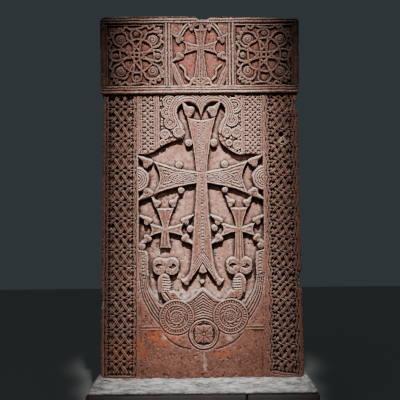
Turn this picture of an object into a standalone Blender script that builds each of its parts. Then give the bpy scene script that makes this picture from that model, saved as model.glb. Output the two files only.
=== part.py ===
"""A carved cross-stone of red tuff: one tall slab with its cornice, bedded in mortar on a low plinth of two blocks.

The slab's front is a relief. Every ornament on it is drawn as a stroke, a disc or a closed shape on a
drawing of the face in millimetres, x from the axis and z up from the line where the mortar ends. The
drawing is then laid on the stone at the sizes below, so a wider or taller stone keeps its composition.
"""
import math

import bmesh
import bpy
import numpy as np
from mathutils.geometry import delaunay_2d_cdt

# Driving sizes, in metres
STONE_WIDTH = 1.120  # at the foot, where the slab is widest
STONE_HEIGHT = 1.988  # from the mortar to the highest point of the cornice
STONE_DEPTH = 0.240
CORNICE_FORWARD = 0.016  # how far the cornice's foot stands in front of the slab
CORNICE_LEAN = 0.010  # how much further its top stands
RECESS_DEPTH = 0.036  # the niche behind the three crosses
KNOT_DEPTH = 0.009  # the pits of the knotwork borders
PANEL_DEPTH = 0.013  # the sunk fields of the cornice
SLAB_BEDDING = 0.060  # how deep the slab's foot sits in the mortar
PLINTH_MARGIN_SIDE = 0.080  # how far the plinth stands out beyond the slab's foot
PLINTH_MARGIN_FRONT = 0.090
PLINTH_HEIGHT = 0.160
PLINTH_JOINT = 0.240  # the joint between the plinth's two blocks, right of the axis
PLINTH_HOLLOW = 0.007  # how far its split faces fall back between their edges
MORTAR_FLOOR = 0.022  # mortar under the slab
MORTAR_SIDE_RISE = 0.026  # how much higher the mortar creeps at the slab's sides
MORTAR_LIP = 0.016  # the mortar's upright edge on the plinth
MORTAR_SETBACK = 0.010  # bare plinth round the mortar
MORTAR_COLLAR = 0.012  # how steeply the mortar ends against the slab
BACK_HOLLOW = 0.006  # the unevenness of the slab's rough back
BACK_TAPER = 0.005  # how much each side draws in towards the back
CLEARANCE = 0.0003  # between solids that touch
PLINTH_WIDTH = STONE_WIDTH + 2 * PLINTH_MARGIN_SIDE
PLINTH_DEPTH = STONE_DEPTH + 2 * PLINTH_MARGIN_FRONT

# The drawing of the face, in millimetres
DRAWING_HEIGHT = 1988.0
MERGED = 3.0  # points of the drawing that lie closer than this become one
AXIS_X = 5.0  # the carver's axis lies a little right of the slab's middle
CORNICE_Z = 1560.0
CORNICE_STEP = 4.0
HALF_FOOT = 560.0
DRAWING_WIDTH = 2 * HALF_FOOT
HALF_NECK = 533.0
HALF_CORNICE = 545.0
FIELD_HALF = 346.0  # between the borders

# Levels of the relief, in metres from the slab's plain face, out of the stone
CROSS_LEVEL = -0.004
BUD_LEVEL = -0.001
SIDE_CROSS_LEVEL = -0.008
GROOVE_LEVEL = -0.006
BEAD_LEVEL = 0.004

STONE_RED = (0.165, 0.072, 0.055, 1.0)
MORTAR_GREY = (0.200, 0.180, 0.160, 1.0)
PLINTH_DARK = (0.050, 0.042, 0.036, 1.0)


def smooth(points, pieces):
    """A round line through a few points, cut into pieces: each has x, z and, if wanted, a half width."""
    points = np.array(points, float)
    padded = np.vstack([2 * points[0] - points[1], points, 2 * points[-1] - points[-2]])
    made = []
    for i in range(len(points) - 1):
        a, b, c, d = padded[i : i + 4]
        for k in range(pieces):
            t = k / pieces
            made.append(b + 0.5 * t * (c - a + t * (2 * a - 5 * b + 4 * c - d + t * (3 * (b - c) + d - a))))
    made.append(points[-1])
    return np.array(made)


def arc(x, z, radius, start, end, pieces):
    """Points on a circle round (x, z), from one angle to another, in degrees from +x."""
    angles = np.radians(np.linspace(start, end, pieces + 1))
    return np.column_stack([x + radius * np.cos(angles), z + radius * np.sin(angles)])


def side_directions(path, closed):
    """A unit vector across the line at each of its points."""
    if closed:
        along = np.roll(path, -1, 0) - np.roll(path, 1, 0)
    else:
        along = np.gradient(path, axis=0)
    length = np.maximum(np.hypot(along[:, 0], along[:, 1]), 1e-9)
    return np.column_stack([-along[:, 1], along[:, 0]]) / length[:, None]


def ease(height, level, share, raised):
    """Moves the surface towards a level by a share from 0 to 1, only up where raised, only down where not."""
    moved = height + (level - height) * np.clip(share, 0, 1)
    return np.maximum(height, moved) if raised else np.minimum(height, moved)


class Stroke:
    """A ridge or a groove that follows a line, as wide as twice `half`. Its flanks take `flank` on each side."""

    def __init__(self, path, half, level, flank=None, closed=False, raised=True):
        path = np.array(path, float)
        self.path = path[:, :2]
        self.half = path[:, 2] if path.shape[1] > 2 else np.full(len(path), float(half))
        self.level, self.closed, self.raised = level, closed, raised
        self.flank = float(np.min(self.half)) if flank is None else flank

    def shape(self, x, z, height):
        ends = list(range(1, len(self.path))) + ([0] if self.closed else [])
        best = np.full(len(x), 1e9)
        for i, j in enumerate(ends):
            a, b = self.path[i], self.path[j]
            run = b - a
            t = np.clip(((x - a[0]) * run[0] + (z - a[1]) * run[1]) / max(run @ run, 1e-9), 0, 1)
            away = np.hypot(x - a[0] - t * run[0], z - a[1] - t * run[1])
            best = np.minimum(best, away - (self.half[i] + t * (self.half[j] - self.half[i])))
        return ease(height, self.level, -best / self.flank, self.raised)

    def lines(self):
        across = side_directions(self.path, self.closed)
        made = []
        for inward in (0.0, self.flank):
            reach = (self.half - inward)[:, None]
            if inward and np.max(reach) < 1.0:
                made.append((self.path, self.closed))
                continue
            left, right = self.path + across * reach, self.path - across * reach
            if self.closed:
                made += [(left, True), (right, True)]
            else:
                made.append((np.vstack([left, right[::-1]]), True))
        return made


class Shape:
    """A raised or sunk area with a closed outline, whose flank runs inwards from the outline."""

    def __init__(self, outline, level, flank, raised=True, peak=None):
        self.outline = np.array(outline, float)[:, :2]
        self.level, self.flank, self.raised, self.peak = level, flank, raised, peak
        x, z = self.outline.T
        if np.sum(x * np.roll(z, -1) - z * np.roll(x, -1)) < 0:
            self.outline = self.outline[::-1]

    def depth_inside(self, x, z):
        nearest = np.full(len(x), 1e9)
        inside = np.zeros(len(x), bool)
        for a, b in zip(self.outline, np.roll(self.outline, -1, 0)):
            run = b - a
            t = np.clip(((x - a[0]) * run[0] + (z - a[1]) * run[1]) / max(run @ run, 1e-9), 0, 1)
            nearest = np.minimum(nearest, np.hypot(x - a[0] - t * run[0], z - a[1] - t * run[1]))
            if a[1] != b[1]:
                crosses = (a[1] > z) != (b[1] > z)
                inside ^= crosses & (x < a[0] + (z - a[1]) / (b[1] - a[1]) * run[0])
        return np.where(inside, nearest, -nearest)

    def shape(self, x, z, height):
        return ease(height, self.level, self.depth_inside(x, z) / self.flank, self.raised)

    def lines(self):
        if self.peak:
            return [(self.outline, True), ([self.peak], False)]
        across = side_directions(self.outline, True)
        return [(self.outline, True), (self.outline + across * self.flank, True)]


def disc(x, z, radius, level, flank, pieces=8):
    """A round boss with a flat top."""
    return Shape(arc(x, z, radius, 0, 360, pieces)[:-1], level, flank)


def knob(x, z, radius, level, pieces=6):
    """A small boss that rises to one point."""
    outline = arc(x, z, radius, 0, 360, pieces)[:-1]
    return Shape(outline, level, radius * math.cos(math.pi / pieces), peak=(x, z))


def ring(x, z, radius, half, level, pieces):
    """A round band with a ridge along its middle."""
    return Stroke(arc(x, z, radius, 0, 360, pieces)[:-1], half, level, closed=True)


def half_width(z):
    """Half the slab's width at a height on the drawing: it narrows evenly up to the cornice."""
    return HALF_FOOT + (HALF_NECK - HALF_FOOT) * min(max(z / CORNICE_Z, 0), 1)


def slab_outline():
    """The slab and its cornice seen from the front, from the bedded foot round, with the broken arrises."""
    left_breaks = ((410, 5, 30), (905, 4, 25), (1355, 9, 18), (1518, 12, 20))
    right_breaks = ((535, 15, 62), (1495, 13, 30), (1130, 4, 30))
    foot = -SLAB_BEDDING * DRAWING_HEIGHT / STONE_HEIGHT
    sides = []
    for breaks, side in ((left_breaks, -1), (right_breaks, 1)):
        edge = [(side * HALF_FOOT, foot), (side * HALF_FOOT, 0.0)]
        levels = [(z, 0.0) for z in (260, 700, 1010, 1240, 1430)]
        for z, depth, reach in breaks:
            levels += [(z - reach, 0.0), (z - reach / 3, depth), (z + reach / 3, depth * 0.8), (z + reach, 0.0)]
        edge += [(side * (half_width(z) - depth), z) for z, depth in sorted(levels)]
        edge += [(side * HALF_NECK, CORNICE_Z), (side * HALF_CORNICE, CORNICE_Z + CORNICE_STEP)]
        sides.append(edge)
    left, right = sides
    left += [(-HALF_CORNICE, 1783), (-HALF_CORNICE + 8, 1791), (-HALF_CORNICE, 1800)]
    right += [(HALF_CORNICE, 1700), (HALF_CORNICE, 1840)]
    falls = [(-545, 26), (-528, 9), (-452, 0), (-300, 2), (-120, 5), (-24, 8), (-8, 22)]
    falls += [(44, 24), (62, 9), (200, 10), (400, 18), (528, 22), (545, 34)]
    top = [(x * HALF_CORNICE / 545, DRAWING_HEIGHT - fall) for x, fall in falls]
    return left + top + right[::-1]


def plain_face(x, z):
    """The slab's own face, and the cornice that stands in front of it and leans out."""
    step = np.clip((z - CORNICE_Z) / CORNICE_STEP, 0, 1)
    lean = np.clip((z - CORNICE_Z) / (DRAWING_HEIGHT - CORNICE_Z), 0, 1)
    return step * (CORNICE_FORWARD + CORNICE_LEAN * lean)


def niche():
    """The deep recess behind the crosses, with its two round lobes at the top and the ledge at its foot."""
    left_top = smooth([(-345, 1232), (-285, 1236), (-215, 1275), (-150, 1305), (-100, 1320), (-88, 1345)], 2)
    left_neck = smooth([(-88, 1345), (-102, 1388), (-126, 1422)], 2)[1:]
    lobes = np.vstack([arc(-67, 1458, 63, 185, 10, 7), [(5, 1438)], arc(77, 1458, 63, 170, -5, 7)])
    right_neck = smooth([(134, 1428), (113, 1392), (102, 1350)], 2)[:-1]
    right_top = smooth([(102, 1350), (112, 1300), (155, 1258), (212, 1228), (270, 1232), (345, 1222)], 2)
    right_wing = smooth([(FIELD_HALF, 700), (304, 672), (300, 520), (272, 440), (238, 392), (208, 386)], 2)
    ledge = smooth([(208, 386), (166, 478), (112, 421), (60, 446), (5, 490)], 2)[1:]
    left_ledge = smooth([(5, 490), (-50, 442), (-100, 420), (-160, 474), (-204, 388)], 2)[1:-1]
    left_wing = smooth([(-204, 388), (-236, 400), (-266, 448), (-294, 515), (-300, 676), (-FIELD_HALF, 704)], 2)
    whole = [left_top, left_neck, lobes, right_neck, right_top, right_wing, ledge, left_ledge, left_wing]
    return Shape(np.vstack(whole), -RECESS_DEPTH, 7, raised=False)


def arm(centre, angle, length, root, end, level, flank=5, bow=0.13):
    """One arm of a cross: it widens to its end, which is cut in a shallow bow."""
    turned = math.radians(angle)
    along = np.array([math.cos(turned), math.sin(turned)])
    across = np.array([-along[1], along[0]])
    profile = [(0, root), (0.5, root + 0.36 * (end - root)), (1, end)]
    edge = [(s * length, w) for s, w in profile]
    bowed = [(length * (1 - bow), 0)]
    points = edge + bowed + [(s, -w) for s, w in reversed(edge)]
    return Shape([np.array(centre) + along * s + across * w for s, w in points], level, flank)


def bud_pair(centre, angle, length, spread, size, level):
    """The two leaves with a curled knob that grow from an arm's corners."""
    turned = math.radians(angle)
    along = np.array([math.cos(turned), math.sin(turned)])
    across = np.array([-along[1], along[0]])
    made = []
    for side in (-1, 1):
        body = np.array(centre) + along * (length + size * 0.55) + across * side * spread
        leaf = [(-0.95, -0.70), (0.30, -0.70), (1.30, 0.35), (0.40, 1.00), (-0.65, 0.50)]
        outline = [body + size * (s * along + side * w * across) for s, w in leaf]
        made.append(Shape(outline, level, size * 0.20))
        curl = body + size * (0.85 * side * across - 0.55 * along)
        made.append(knob(*curl, size * 0.45, level + BEAD_LEVEL, 4))
    return made


def crosses():
    """The great cross on its flaring shaft, the two smaller ones beside it and the one in the cornice."""
    great = (AXIS_X, 1100)
    made = [
        arm(great, 90, 330, 24, 73, CROSS_LEVEL, bow=0.045),
        arm(great, 180, 255, 25, 84, CROSS_LEVEL, bow=0.11),
        arm(great, 0, 250, 25, 84, CROSS_LEVEL, bow=0.11),
        Shape([(-22, 1090), (-27, 980), (-43, 790), (-52, 640), (-58, 585), (-46, 558), (5, 630),
               (56, 558), (66, 585), (59, 640), (50, 790), (36, 980), (32, 1090)], CROSS_LEVEL, 5),
        disc(5, 1100, 15, CROSS_LEVEL + BEAD_LEVEL, 5, 8),
        Shape([(5, 606), (-24, 574), (5, 556), (34, 574)], CROSS_LEVEL, 4),
        disc(4, 524, 12, SIDE_CROSS_LEVEL, 5, 6),
    ]
    made += bud_pair(great, 90, 330, 73, 36, BUD_LEVEL)
    made += bud_pair(great, 180, 262, 90, 34, BUD_LEVEL)
    made += bud_pair(great, 0, 256, 88, 34, BUD_LEVEL)
    for x, z in ((-67, 1300), (78, 1298), (-120, 1166), (130, 1170), (-110, 1030), (130, 1030), (-62, 815), (72, 820)):
        made.append(knob(x, z, 15, CROSS_LEVEL))
    for side in (-1, 1):
        foot = (AXIS_X + side * 52, 560)
        path = [(*foot, 12), (AXIS_X + side * 78, 530, 20), (AXIS_X + side * 108, 548, 9)]
        made.append(Stroke(path, 0, CROSS_LEVEL, 6))
        small = (AXIS_X + side * 204, 812)
        made += [
            arm(small, 90, 112, 18, 40, SIDE_CROSS_LEVEL, bow=0.06),
            arm(small, 180, 72, 15, 40, SIDE_CROSS_LEVEL),
            arm(small, 0, 72, 15, 40, SIDE_CROSS_LEVEL),
            arm(small, 270, 98 if side < 0 else 190, 19, 27, SIDE_CROSS_LEVEL, bow=0.02),
        ]
        for angle, reach, spread, size in ((90, 118, 48, 25), (180, 74, 48, 26), (0, 74, 48, 26)):
            made += bud_pair(small, angle, reach, spread, size, SIDE_CROSS_LEVEL + BEAD_LEVEL)
        made += bud_pair(small, 270, 190, 34, 22, SIDE_CROSS_LEVEL)
    return made


def cornice_cross():
    level = CORNICE_FORWARD
    centre = (AXIS_X, 1812)
    made = [
        arm(centre, 90, 112, 16, 38, level, 4, bow=0.05),
        arm(centre, 180, 84, 13, 34, level, 4),
        arm(centre, 0, 84, 13, 34, level, 4),
        arm(centre, 270, 172, 17, 38, level, 4, bow=0.02),
    ]
    for angle, reach, spread, size in ((90, 116, 44, 24), (180, 86, 44, 26), (0, 86, 44, 26)):
        made += bud_pair(centre, angle, reach, spread, size, level)
    for side in (-1, 1):
        outer = [(AXIS_X + side * x, z, w) for x, z, w in ((146, 1722, 8), (124, 1655, 18), (98, 1598, 14))]
        made.append(Stroke(smooth(outer, 2), 0, level, 6))
        made.append(Stroke([(AXIS_X + side * 62, 1606, 9), (AXIS_X + side * 36, 1640, 11), (AXIS_X, 1618, 9)], 0, level, 5))
        arch = [(AXIS_X + side * x, z, w) for x, z, w in ((150, 1868, 22), (124, 1905, 24), (104, 1950, 20))]
        made.append(Stroke(arch, 0, level, 6))
    return made


def medallion(x, z, radius):
    """A small wheel of knotwork: a round rim and a boss in it."""
    return [ring(x, z, radius * 0.80, radius * 0.22, BEAD_LEVEL, 7), knob(x, z, radius * 0.42, BEAD_LEVEL, 5)]


def spandrels():
    """What lies between the cornice and the niche: wheels of knotwork and the mouldings round the lobes."""
    made = []
    wheels = [(-172, 1508, 38), (-182, 1430, 36), (-122, 1352, 28)]
    wheels += [(187, 1500, 42), (171, 1410, 35), (143, 1347, 28), (197, 1340, 24)]
    for wheel in wheels:
        made += medallion(*wheel)
    for x, start, end in ((-67, 178, 38), (77, 142, 2)):
        for radius in (72, 87):
            made.append(Stroke(arc(x, 1458, radius, start, end, 7), 6, BEAD_LEVEL))
    for side, z in ((-1, 1092), (1, 1095)):
        for radius in (58, 34):
            start = 68 if side < 0 else 112
            made.append(Stroke(arc(side * 352, z, radius, start, -start if side < 0 else 360 - start, 6), 7, BUD_LEVEL))
    return made


def rosette(x, z, radius):
    """A wheel with a moulded rim, a sunk field and a second ring round its boss."""
    return [
        Shape(arc(x, z, radius * 0.96, 0, 360, 14)[:-1], GROOVE_LEVEL, radius * 0.10, raised=False),
        Stroke(arc(x, z, radius * 0.92, 0, 360, 14)[:-1], radius * 0.07, BEAD_LEVEL, closed=True),
        ring(x, z, radius * 0.58, radius * 0.10, BEAD_LEVEL, 9),
        knob(x, z, radius * 0.34, BEAD_LEVEL, 7),
    ]


def wings():
    """The ribbed wings that rise from the three wheels, with their finials, chevrons and corner scrolls."""
    made = []
    for side in (-1, 1):
        outer = np.array([(338, 560), (326, 470), (308, 410), (276, 350), (240, 298)], float)
        inner = np.array([(306, 545), (292, 488), (266, 436), (236, 388), (212, 344)], float)
        for share in (0.05, 0.36, 0.67, 0.98):
            rib = outer + (inner - outer) * share
            rib[:, 0] *= side
            made.append(Stroke(rib, 4.5, BEAD_LEVEL))
        finial = [(side * 205, 462, 26), (side * 208, 505, 34), (side * 204, 545, 30), (side * 202, 568, 14)]
        made.append(Stroke(finial, 0, BUD_LEVEL, 8))
        for k in range(4):
            made.append(Stroke([(side * 178, 480 + 22 * k), (side * 214, 482 + 22 * k)], 4, -0.008, raised=False))
        made.append(Stroke([(side * 196, 462), (side * 156, 410)], 5, -0.014, raised=False))
        made.append(disc(side * 326, 722, 17, BUD_LEVEL, 6, 8))
        for z in (283, 268):
            made.append(Stroke([(side * 338, z), (side * 236, z)], 5, BEAD_LEVEL))
        made.append(Stroke([(side * 342, 290), (side * 342, 470)], 5, BEAD_LEVEL))
        made.append(Stroke(smooth([(side * 330, 300), (side * 300, 318), (side * 276, 298)], 2), 5, BEAD_LEVEL))
        bowl = [(side * 206, 246), (side * 168, 206), (side * 122, 181), (side * 66, 163)]
        made.append(Stroke(smooth(bowl, 2), 6, BEAD_LEVEL))
    for k in range(5):
        path = [(-112, 398 - 9 * k), (-62, 412 - 15 * k), (AXIS_X, 470 - 25 * k), (72, 412 - 15 * k), (122, 398 - 9 * k)]
        made.append(Stroke(path, 4.5, BEAD_LEVEL))
    made.append(Stroke(arc(8, 240, 103, 118, 62, 6), 5, BEAD_LEVEL))
    for x, z, radius in ((-140, 335, 95), (157, 335, 95), (8, 240, 80)):
        made += rosette(x, z, radius)
    return made


def cornice_panels():
    """The cornice's mouldings, and the two knotwork panels beside its cross."""
    level = CORNICE_FORWARD
    made = []
    for x0, x1, z0, z1 in ((-505, -196, 1604, 1936), (196, 505, 1604, 1932), (-150, 146, 1588, 1962)):
        made.append(Shape([(x0, z0), (x1, z0), (x1, z1), (x0, z1)], level - PANEL_DEPTH, 5, raised=False))
    for side in (-1, 1):
        cx, cz = side * 350, 1769
        for k in range(4):
            angle = 45 + 90 * k
            out = np.array([math.cos(math.radians(angle)), math.sin(math.radians(angle))])
            across = np.array([-out[1], out[0]])
            centre = np.array([cx, cz])
            corner = centre + out * 128
            made.append(ring(corner[0], corner[1], 48, 9, level, 7))
            made.append(knob(corner[0], corner[1], 24, level, 5))
            for lane in (-17, 17):
                made.append(Stroke([centre - out * 60 + across * lane, centre + out * 88 + across * lane], 9, level))
            lean = math.radians(90 * k)
            foot = centre + 72 * np.array([math.cos(lean), math.sin(lean)])
            made.append(Stroke(arc(*foot, 44, 90 * k - 105, 90 * k + 105, 4), 9, level))
    made += [Stroke([(-532, z), (532, z)], 6, level + BEAD_LEVEL) for z in (1573, 1588, 1950)]
    for x in (-182, -166, 164, 182):
        made.append(Stroke([(x, 1602), (x, 1938)], 6, level + BEAD_LEVEL))
    return made


def knot_border(edge, columns, rows, pitch, first_row, drop=0.0, swing=8.4):
    """A plait of knotwork: pits and crossings alternate on a grid of half pitches, joined along its bands.

    edge(z) gives the x of its two sides. Every second row of pits is drawn out to tall lenses.
    It returns the points, each with its height, and the pairs of them that the mesh has to join.
    """
    points, pairs = {}, []
    for q in range(4 * rows + 1):
        swung = math.sin(math.pi * q / 2)
        z = first_row + pitch * q / 4 + swing * swung
        left, right = edge(z)
        for p in range(2 * columns + 1):
            x = left + (right - left) * p / (2 * columns)
            rim = p in (0, 2 * columns) or q in (0, 4 * rows)
            pit = (p + q) % 2 == 1 and not rim
            points[p, q] = (x, z - drop * (x - left), -KNOT_DEPTH if pit else 0.0)
    last_row, last_column = 4 * rows, 2 * columns
    for p, q in points:
        for step in (-1, 1):
            if (p + q) % 2 == 0 and (p + step, q + 1) in points:
                pairs.append(((p, q), (p + step, q + 1)))
    for p in range(last_column):
        pairs += [((p, q), (p + 1, q)) for q in (0, last_row)]
    for q in range(last_row):
        pairs += [((p, q), (p, q + 1)) for p in (0, last_column)]
    order = {key: i for i, key in enumerate(points)}
    return list(points.values()), [(order[a], order[b]) for a, b in pairs]


def borders():
    """The two broad borders, and the narrow plaits inside them under the cornice."""
    return [
        knot_border(lambda z: (-half_width(z) + 16, -half_width(z) + 190), 4, 17, 87.6, 30.0),
        knot_border(lambda z: (half_width(z) - 182, half_width(z) - 18), 4, 17, 84.6, 32.0, 0.045),
        knot_border(lambda z: (-333, -247), 2, 4, 74.0, 1252.0, 0.0, 4.0),
        knot_border(lambda z: (236, 340), 2, 4, 74.0, 1250.0, 0.0, 5.0),
    ]


def relief():
    """The front of the slab as triangles: points (x, z) on the drawing, their heights, and the faces."""
    outline = slab_outline()
    features = [niche(), *crosses(), *spandrels(), *wings(), *cornice_panels(), *cornice_cross()]
    points, edges, knot_heights = [], [], {}

    def add_line(line, closed):
        first, count = len(points), len(line)
        points.extend((float(x), float(z)) for x, z in line)
        edges.extend((first + i, first + (i + 1) % count) for i in range(count if closed else count - 1))

    add_line(outline, True)
    for z, half in ((0.0, HALF_FOOT), (CORNICE_Z, HALF_NECK), (CORNICE_Z + CORNICE_STEP, HALF_CORNICE)):
        add_line([(-half, z), (half, z)], False)
    for feature in features:
        for line, closed in feature.lines():
            add_line(line, closed)
    for spots, pairs in borders():
        first = len(points)
        for x, z, height in spots:
            knot_heights[len(points)] = height
            points.append((x, z))
        edges.extend((first + a, first + b) for a, b in pairs)
    made, _, faces, origins, *_ = delaunay_2d_cdt(points, edges, [], 1, MERGED)
    x, z = np.array([(p[0], p[1]) for p in made]).T
    height = plain_face(x, z)
    for feature in features:
        height = feature.shape(x, z, height)
    for i, sources in enumerate(origins):
        for source in sources:
            height[i] = knot_heights.get(source, height[i])
    return np.column_stack([x, z]), height, faces


def boundary_loop(faces):
    """The points round the rim of a set of triangles, in order."""
    used = {}
    for face in faces:
        for a, b in zip(face, (*face[1:], face[0])):
            used[a, b] = True
    following = {a: b for a, b in used if (b, a) not in used}
    start = next(iter(following))
    loop = [start]
    while following[loop[-1]] != start:
        loop.append(following[loop[-1]])
    return loop


def rough(x, z, seed):
    """A repeatable unevenness between -1 and 1, for stone that was only split and dressed."""
    return math.sin(x * 12.9898 + z * 78.233 + seed * 37.719) * math.cos(x * 4.1 - z * 5.3 + seed * 1.7)


def material(name, colour, roughness):
    made = bpy.data.materials.new(name)
    made.use_nodes = True
    shader = made.node_tree.nodes["Principled BSDF"]
    shader.inputs["Base Color"].default_value = colour
    shader.inputs["Roughness"].default_value = roughness
    return made


def add_object(name, mesh_builder, finish):
    """Turns a bmesh into a named object, with its faces pointing out."""
    bmesh.ops.remove_doubles(mesh_builder, verts=mesh_builder.verts, dist=1e-5)
    bmesh.ops.recalc_face_normals(mesh_builder, faces=mesh_builder.faces)
    mesh = bpy.data.meshes.new(name)
    mesh_builder.to_mesh(mesh)
    mesh_builder.free()
    mesh.materials.append(finish)
    made = bpy.data.objects.new(name, mesh)
    bpy.context.scene.collection.objects.link(made)
    return made


def stele(foot):
    """The slab with its cornice, its carved front, its split sides and its rough back."""
    wide = STONE_WIDTH / DRAWING_WIDTH
    tall = STONE_HEIGHT / DRAWING_HEIGHT
    drawing_zero = foot + SLAB_BEDDING
    spots, heights, faces = relief()
    loop = boundary_loop(faces)
    body = bmesh.new()
    front = [
        body.verts.new((x * wide, -STONE_DEPTH / 2 - h, drawing_zero + z * tall))
        for (x, z), h in zip(spots, heights)
    ]
    for face in faces:
        body.faces.new([front[i] for i in face])
    near, far = [front[i] for i in loop], []
    for i in loop:
        x, z = spots[i]
        free = min(max(z / 120.0, 0), 1)
        taper = BACK_TAPER * free * (1 + 0.25 * rough(x / 90, z / 90, 1.0))
        top = drawing_zero + z * tall - 0.6 * taper * (z > DRAWING_HEIGHT * 0.97)
        far.append(body.verts.new((x * wide - math.copysign(taper, x), STONE_DEPTH / 2, top)))
    for k in range(len(loop)):
        nxt = (k + 1) % len(loop)
        body.faces.new([near[k], far[k], far[nxt]])
        body.faces.new([near[k], far[nxt], near[nxt]])
    rim = [(v.co.x, v.co.z) for v in far]
    inner = [(x * 0.19 * STONE_WIDTH, drawing_zero + STONE_HEIGHT * (0.07 + 0.17 * k))
             for k in range(6) for x in np.arange(-2.0, 2.5) + 0.2 * (-1) ** k]
    count = len(rim)
    made, _, back_faces, *_ = delaunay_2d_cdt(rim + inner, [(i, (i + 1) % count) for i in range(count)], [], 1, 1e-6)
    on_rim = {(round(x, 5), round(z, 5)) for x, z in rim}
    back = []
    for x, z in made:
        hollow = 0.0 if (round(x, 5), round(z, 5)) in on_rim else BACK_HOLLOW * (1.2 - rough(x * 9, z * 7, 3.0))
        back.append(body.verts.new((x, STONE_DEPTH / 2 - hollow, z)))
    for face in back_faces:
        body.faces.new([back[i] for i in face])
    return add_object("stele", body, material("red tuff", STONE_RED, 0.9))


def rounded_ring(half_x, half_y, height, per_side, ripple, seed):
    """Points round a rectangle at a height, with an uneven line."""
    corners = [(-half_x, -half_y), (half_x, -half_y), (half_x, half_y), (-half_x, half_y)]
    made = []
    for (x0, y0), (x1, y1), count in zip(corners, corners[1:] + corners[:1], per_side):
        for k in range(count):
            x, y = x0 + (x1 - x0) * k / count, y0 + (y1 - y0) * k / count
            wave = ripple * rough(x * 6, y * 6, seed)
            made.append((x * (1 + wave / half_x), y * (1 + wave / half_y), height(x, y, wave)))
    return made


def mortar_bed(base):
    """The bed of mortar: a floor under the slab and a fillet that slopes from the slab's face to the plinth's edge."""
    inner_x = STONE_WIDTH / 2 + CLEARANCE
    inner_y = STONE_DEPTH / 2 + CLEARANCE
    outer_x, outer_y = PLINTH_WIDTH / 2 - MORTAR_SETBACK, PLINTH_DEPTH / 2 - MORTAR_SETBACK
    top = MORTAR_FLOOR + SLAB_BEDDING
    per_side = (8, 3, 8, 3)
    steps = ((0.0, 0.0, 0.0), (0.0, MORTAR_LIP, 0.003), (0.35, 0.55 * top, 0.006), (0.75, 0.86 * top, 0.004))

    def level(height, steepness):
        def at(x, y, wave):
            side = min(max((abs(x) - 0.42 * STONE_WIDTH) / (0.08 * STONE_WIDTH), 0), 1)
            return base + height + wave * (steepness > 0) + MORTAR_SIDE_RISE * side * steepness
        return at

    body = bmesh.new()
    rings = []
    for share, height, ripple in steps:
        half_x = outer_x + (inner_x + MORTAR_COLLAR - outer_x) * share
        half_y = outer_y + (inner_y + MORTAR_COLLAR - outer_y) * share
        rings.append(rounded_ring(half_x, half_y, level(height, share), per_side, ripple, share + 1))
    rings.append(rounded_ring(inner_x, inner_y, level(top, 1.0), per_side, 0.0, 0))
    rings.append(rounded_ring(inner_x, inner_y, level(MORTAR_FLOOR - CLEARANCE, 0.0), per_side, 0.0, 0))
    layers = [[body.verts.new(p) for p in points] for points in rings]
    for low, high in zip(layers, layers[1:]):
        for k in range(len(low)):
            nxt = (k + 1) % len(low)
            body.faces.new([low[k], low[nxt], high[nxt]])
            body.faces.new([low[k], high[nxt], high[k]])
    body.faces.new(layers[0][::-1])
    body.faces.new(layers[-1])
    bmesh.ops.triangulate(body, faces=[f for f in body.faces if len(f.verts) > 3])
    return add_object("mortar_bed", body, material("lime mortar", MORTAR_GREY, 0.95))


def plinth_block(name, x0, x1, seed):
    """A block of the plinth: flat above, below and at its joint, rough where it shows."""
    body = bmesh.new()
    columns, rows, depth = max(3, round((x1 - x0) / 0.18)), 2, 2
    half_y = PLINTH_DEPTH / 2

    def spot(i, j, k):
        x, y, z = x0 + (x1 - x0) * i / columns, -half_y + PLINTH_DEPTH * j / depth, PLINTH_HEIGHT * k / rows
        free = 0 < k < rows
        outside = abs(abs(x) - PLINTH_WIDTH / 2) < 1e-6
        if free and j in (0, depth):
            y -= math.copysign(PLINTH_HOLLOW * (1 + rough(x * 7, z * 9, seed)), y)
        if free and outside:
            x -= math.copysign(PLINTH_HOLLOW * (1 + rough(y * 7, z * 9, seed)), x)
        return body.verts.new((x, y, z))

    shell = {
        (i, j, k): spot(i, j, k)
        for i in range(columns + 1) for j in range(depth + 1) for k in range(rows + 1)
        if i in (0, columns) or j in (0, depth) or k in (0, rows)
    }
    sides = []
    for k in (0, rows):
        sides += [[(i, j, k), (i + 1, j, k), (i + 1, j + 1, k), (i, j + 1, k)]
                  for i in range(columns) for j in range(depth)]
    for j in (0, depth):
        sides += [[(i, j, k), (i + 1, j, k), (i + 1, j, k + 1), (i, j, k + 1)]
                  for i in range(columns) for k in range(rows)]
    for i in (0, columns):
        sides += [[(i, j, k), (i, j + 1, k), (i, j + 1, k + 1), (i, j, k + 1)]
                  for j in range(depth) for k in range(rows)]
    for side in sides:
        body.faces.new([shell[corner] for corner in side])
    bmesh.ops.recalc_face_normals(body, faces=body.faces)
    flat = [f for f in body.faces if abs(f.normal.z) > 0.999]
    bmesh.ops.dissolve_faces(body, faces=[f for f in flat if f.normal.z > 0])
    bmesh.ops.dissolve_faces(body, faces=[f for f in body.faces if f.normal.z < -0.999])
    bmesh.ops.triangulate(body, faces=body.faces)
    return add_object(name, body, material(name.replace("_", " ") + " stone", PLINTH_DARK, 0.9))


def main():
    for old in list(bpy.data.objects):
        bpy.data.objects.remove(old)
    plinth_block("plinth_block_left", -PLINTH_WIDTH / 2, PLINTH_JOINT - CLEARANCE / 2, 1.0)
    plinth_block("plinth_block_right", PLINTH_JOINT + CLEARANCE / 2, PLINTH_WIDTH / 2, 2.0)
    mortar_base = PLINTH_HEIGHT + CLEARANCE
    mortar_bed(mortar_base)
    stele(mortar_base + MORTAR_FLOOR)


main()
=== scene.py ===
"""A carved cross-stone of red tuff, bedded in mortar on a low plinth: fine relief and worn stone.

The face is a drawing in millimetres, x from the slab's middle and z up from the line where the mortar ends.
Every ornament shapes one field of heights over it, out of the stone, and that field becomes the mesh.
"""
import math

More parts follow.
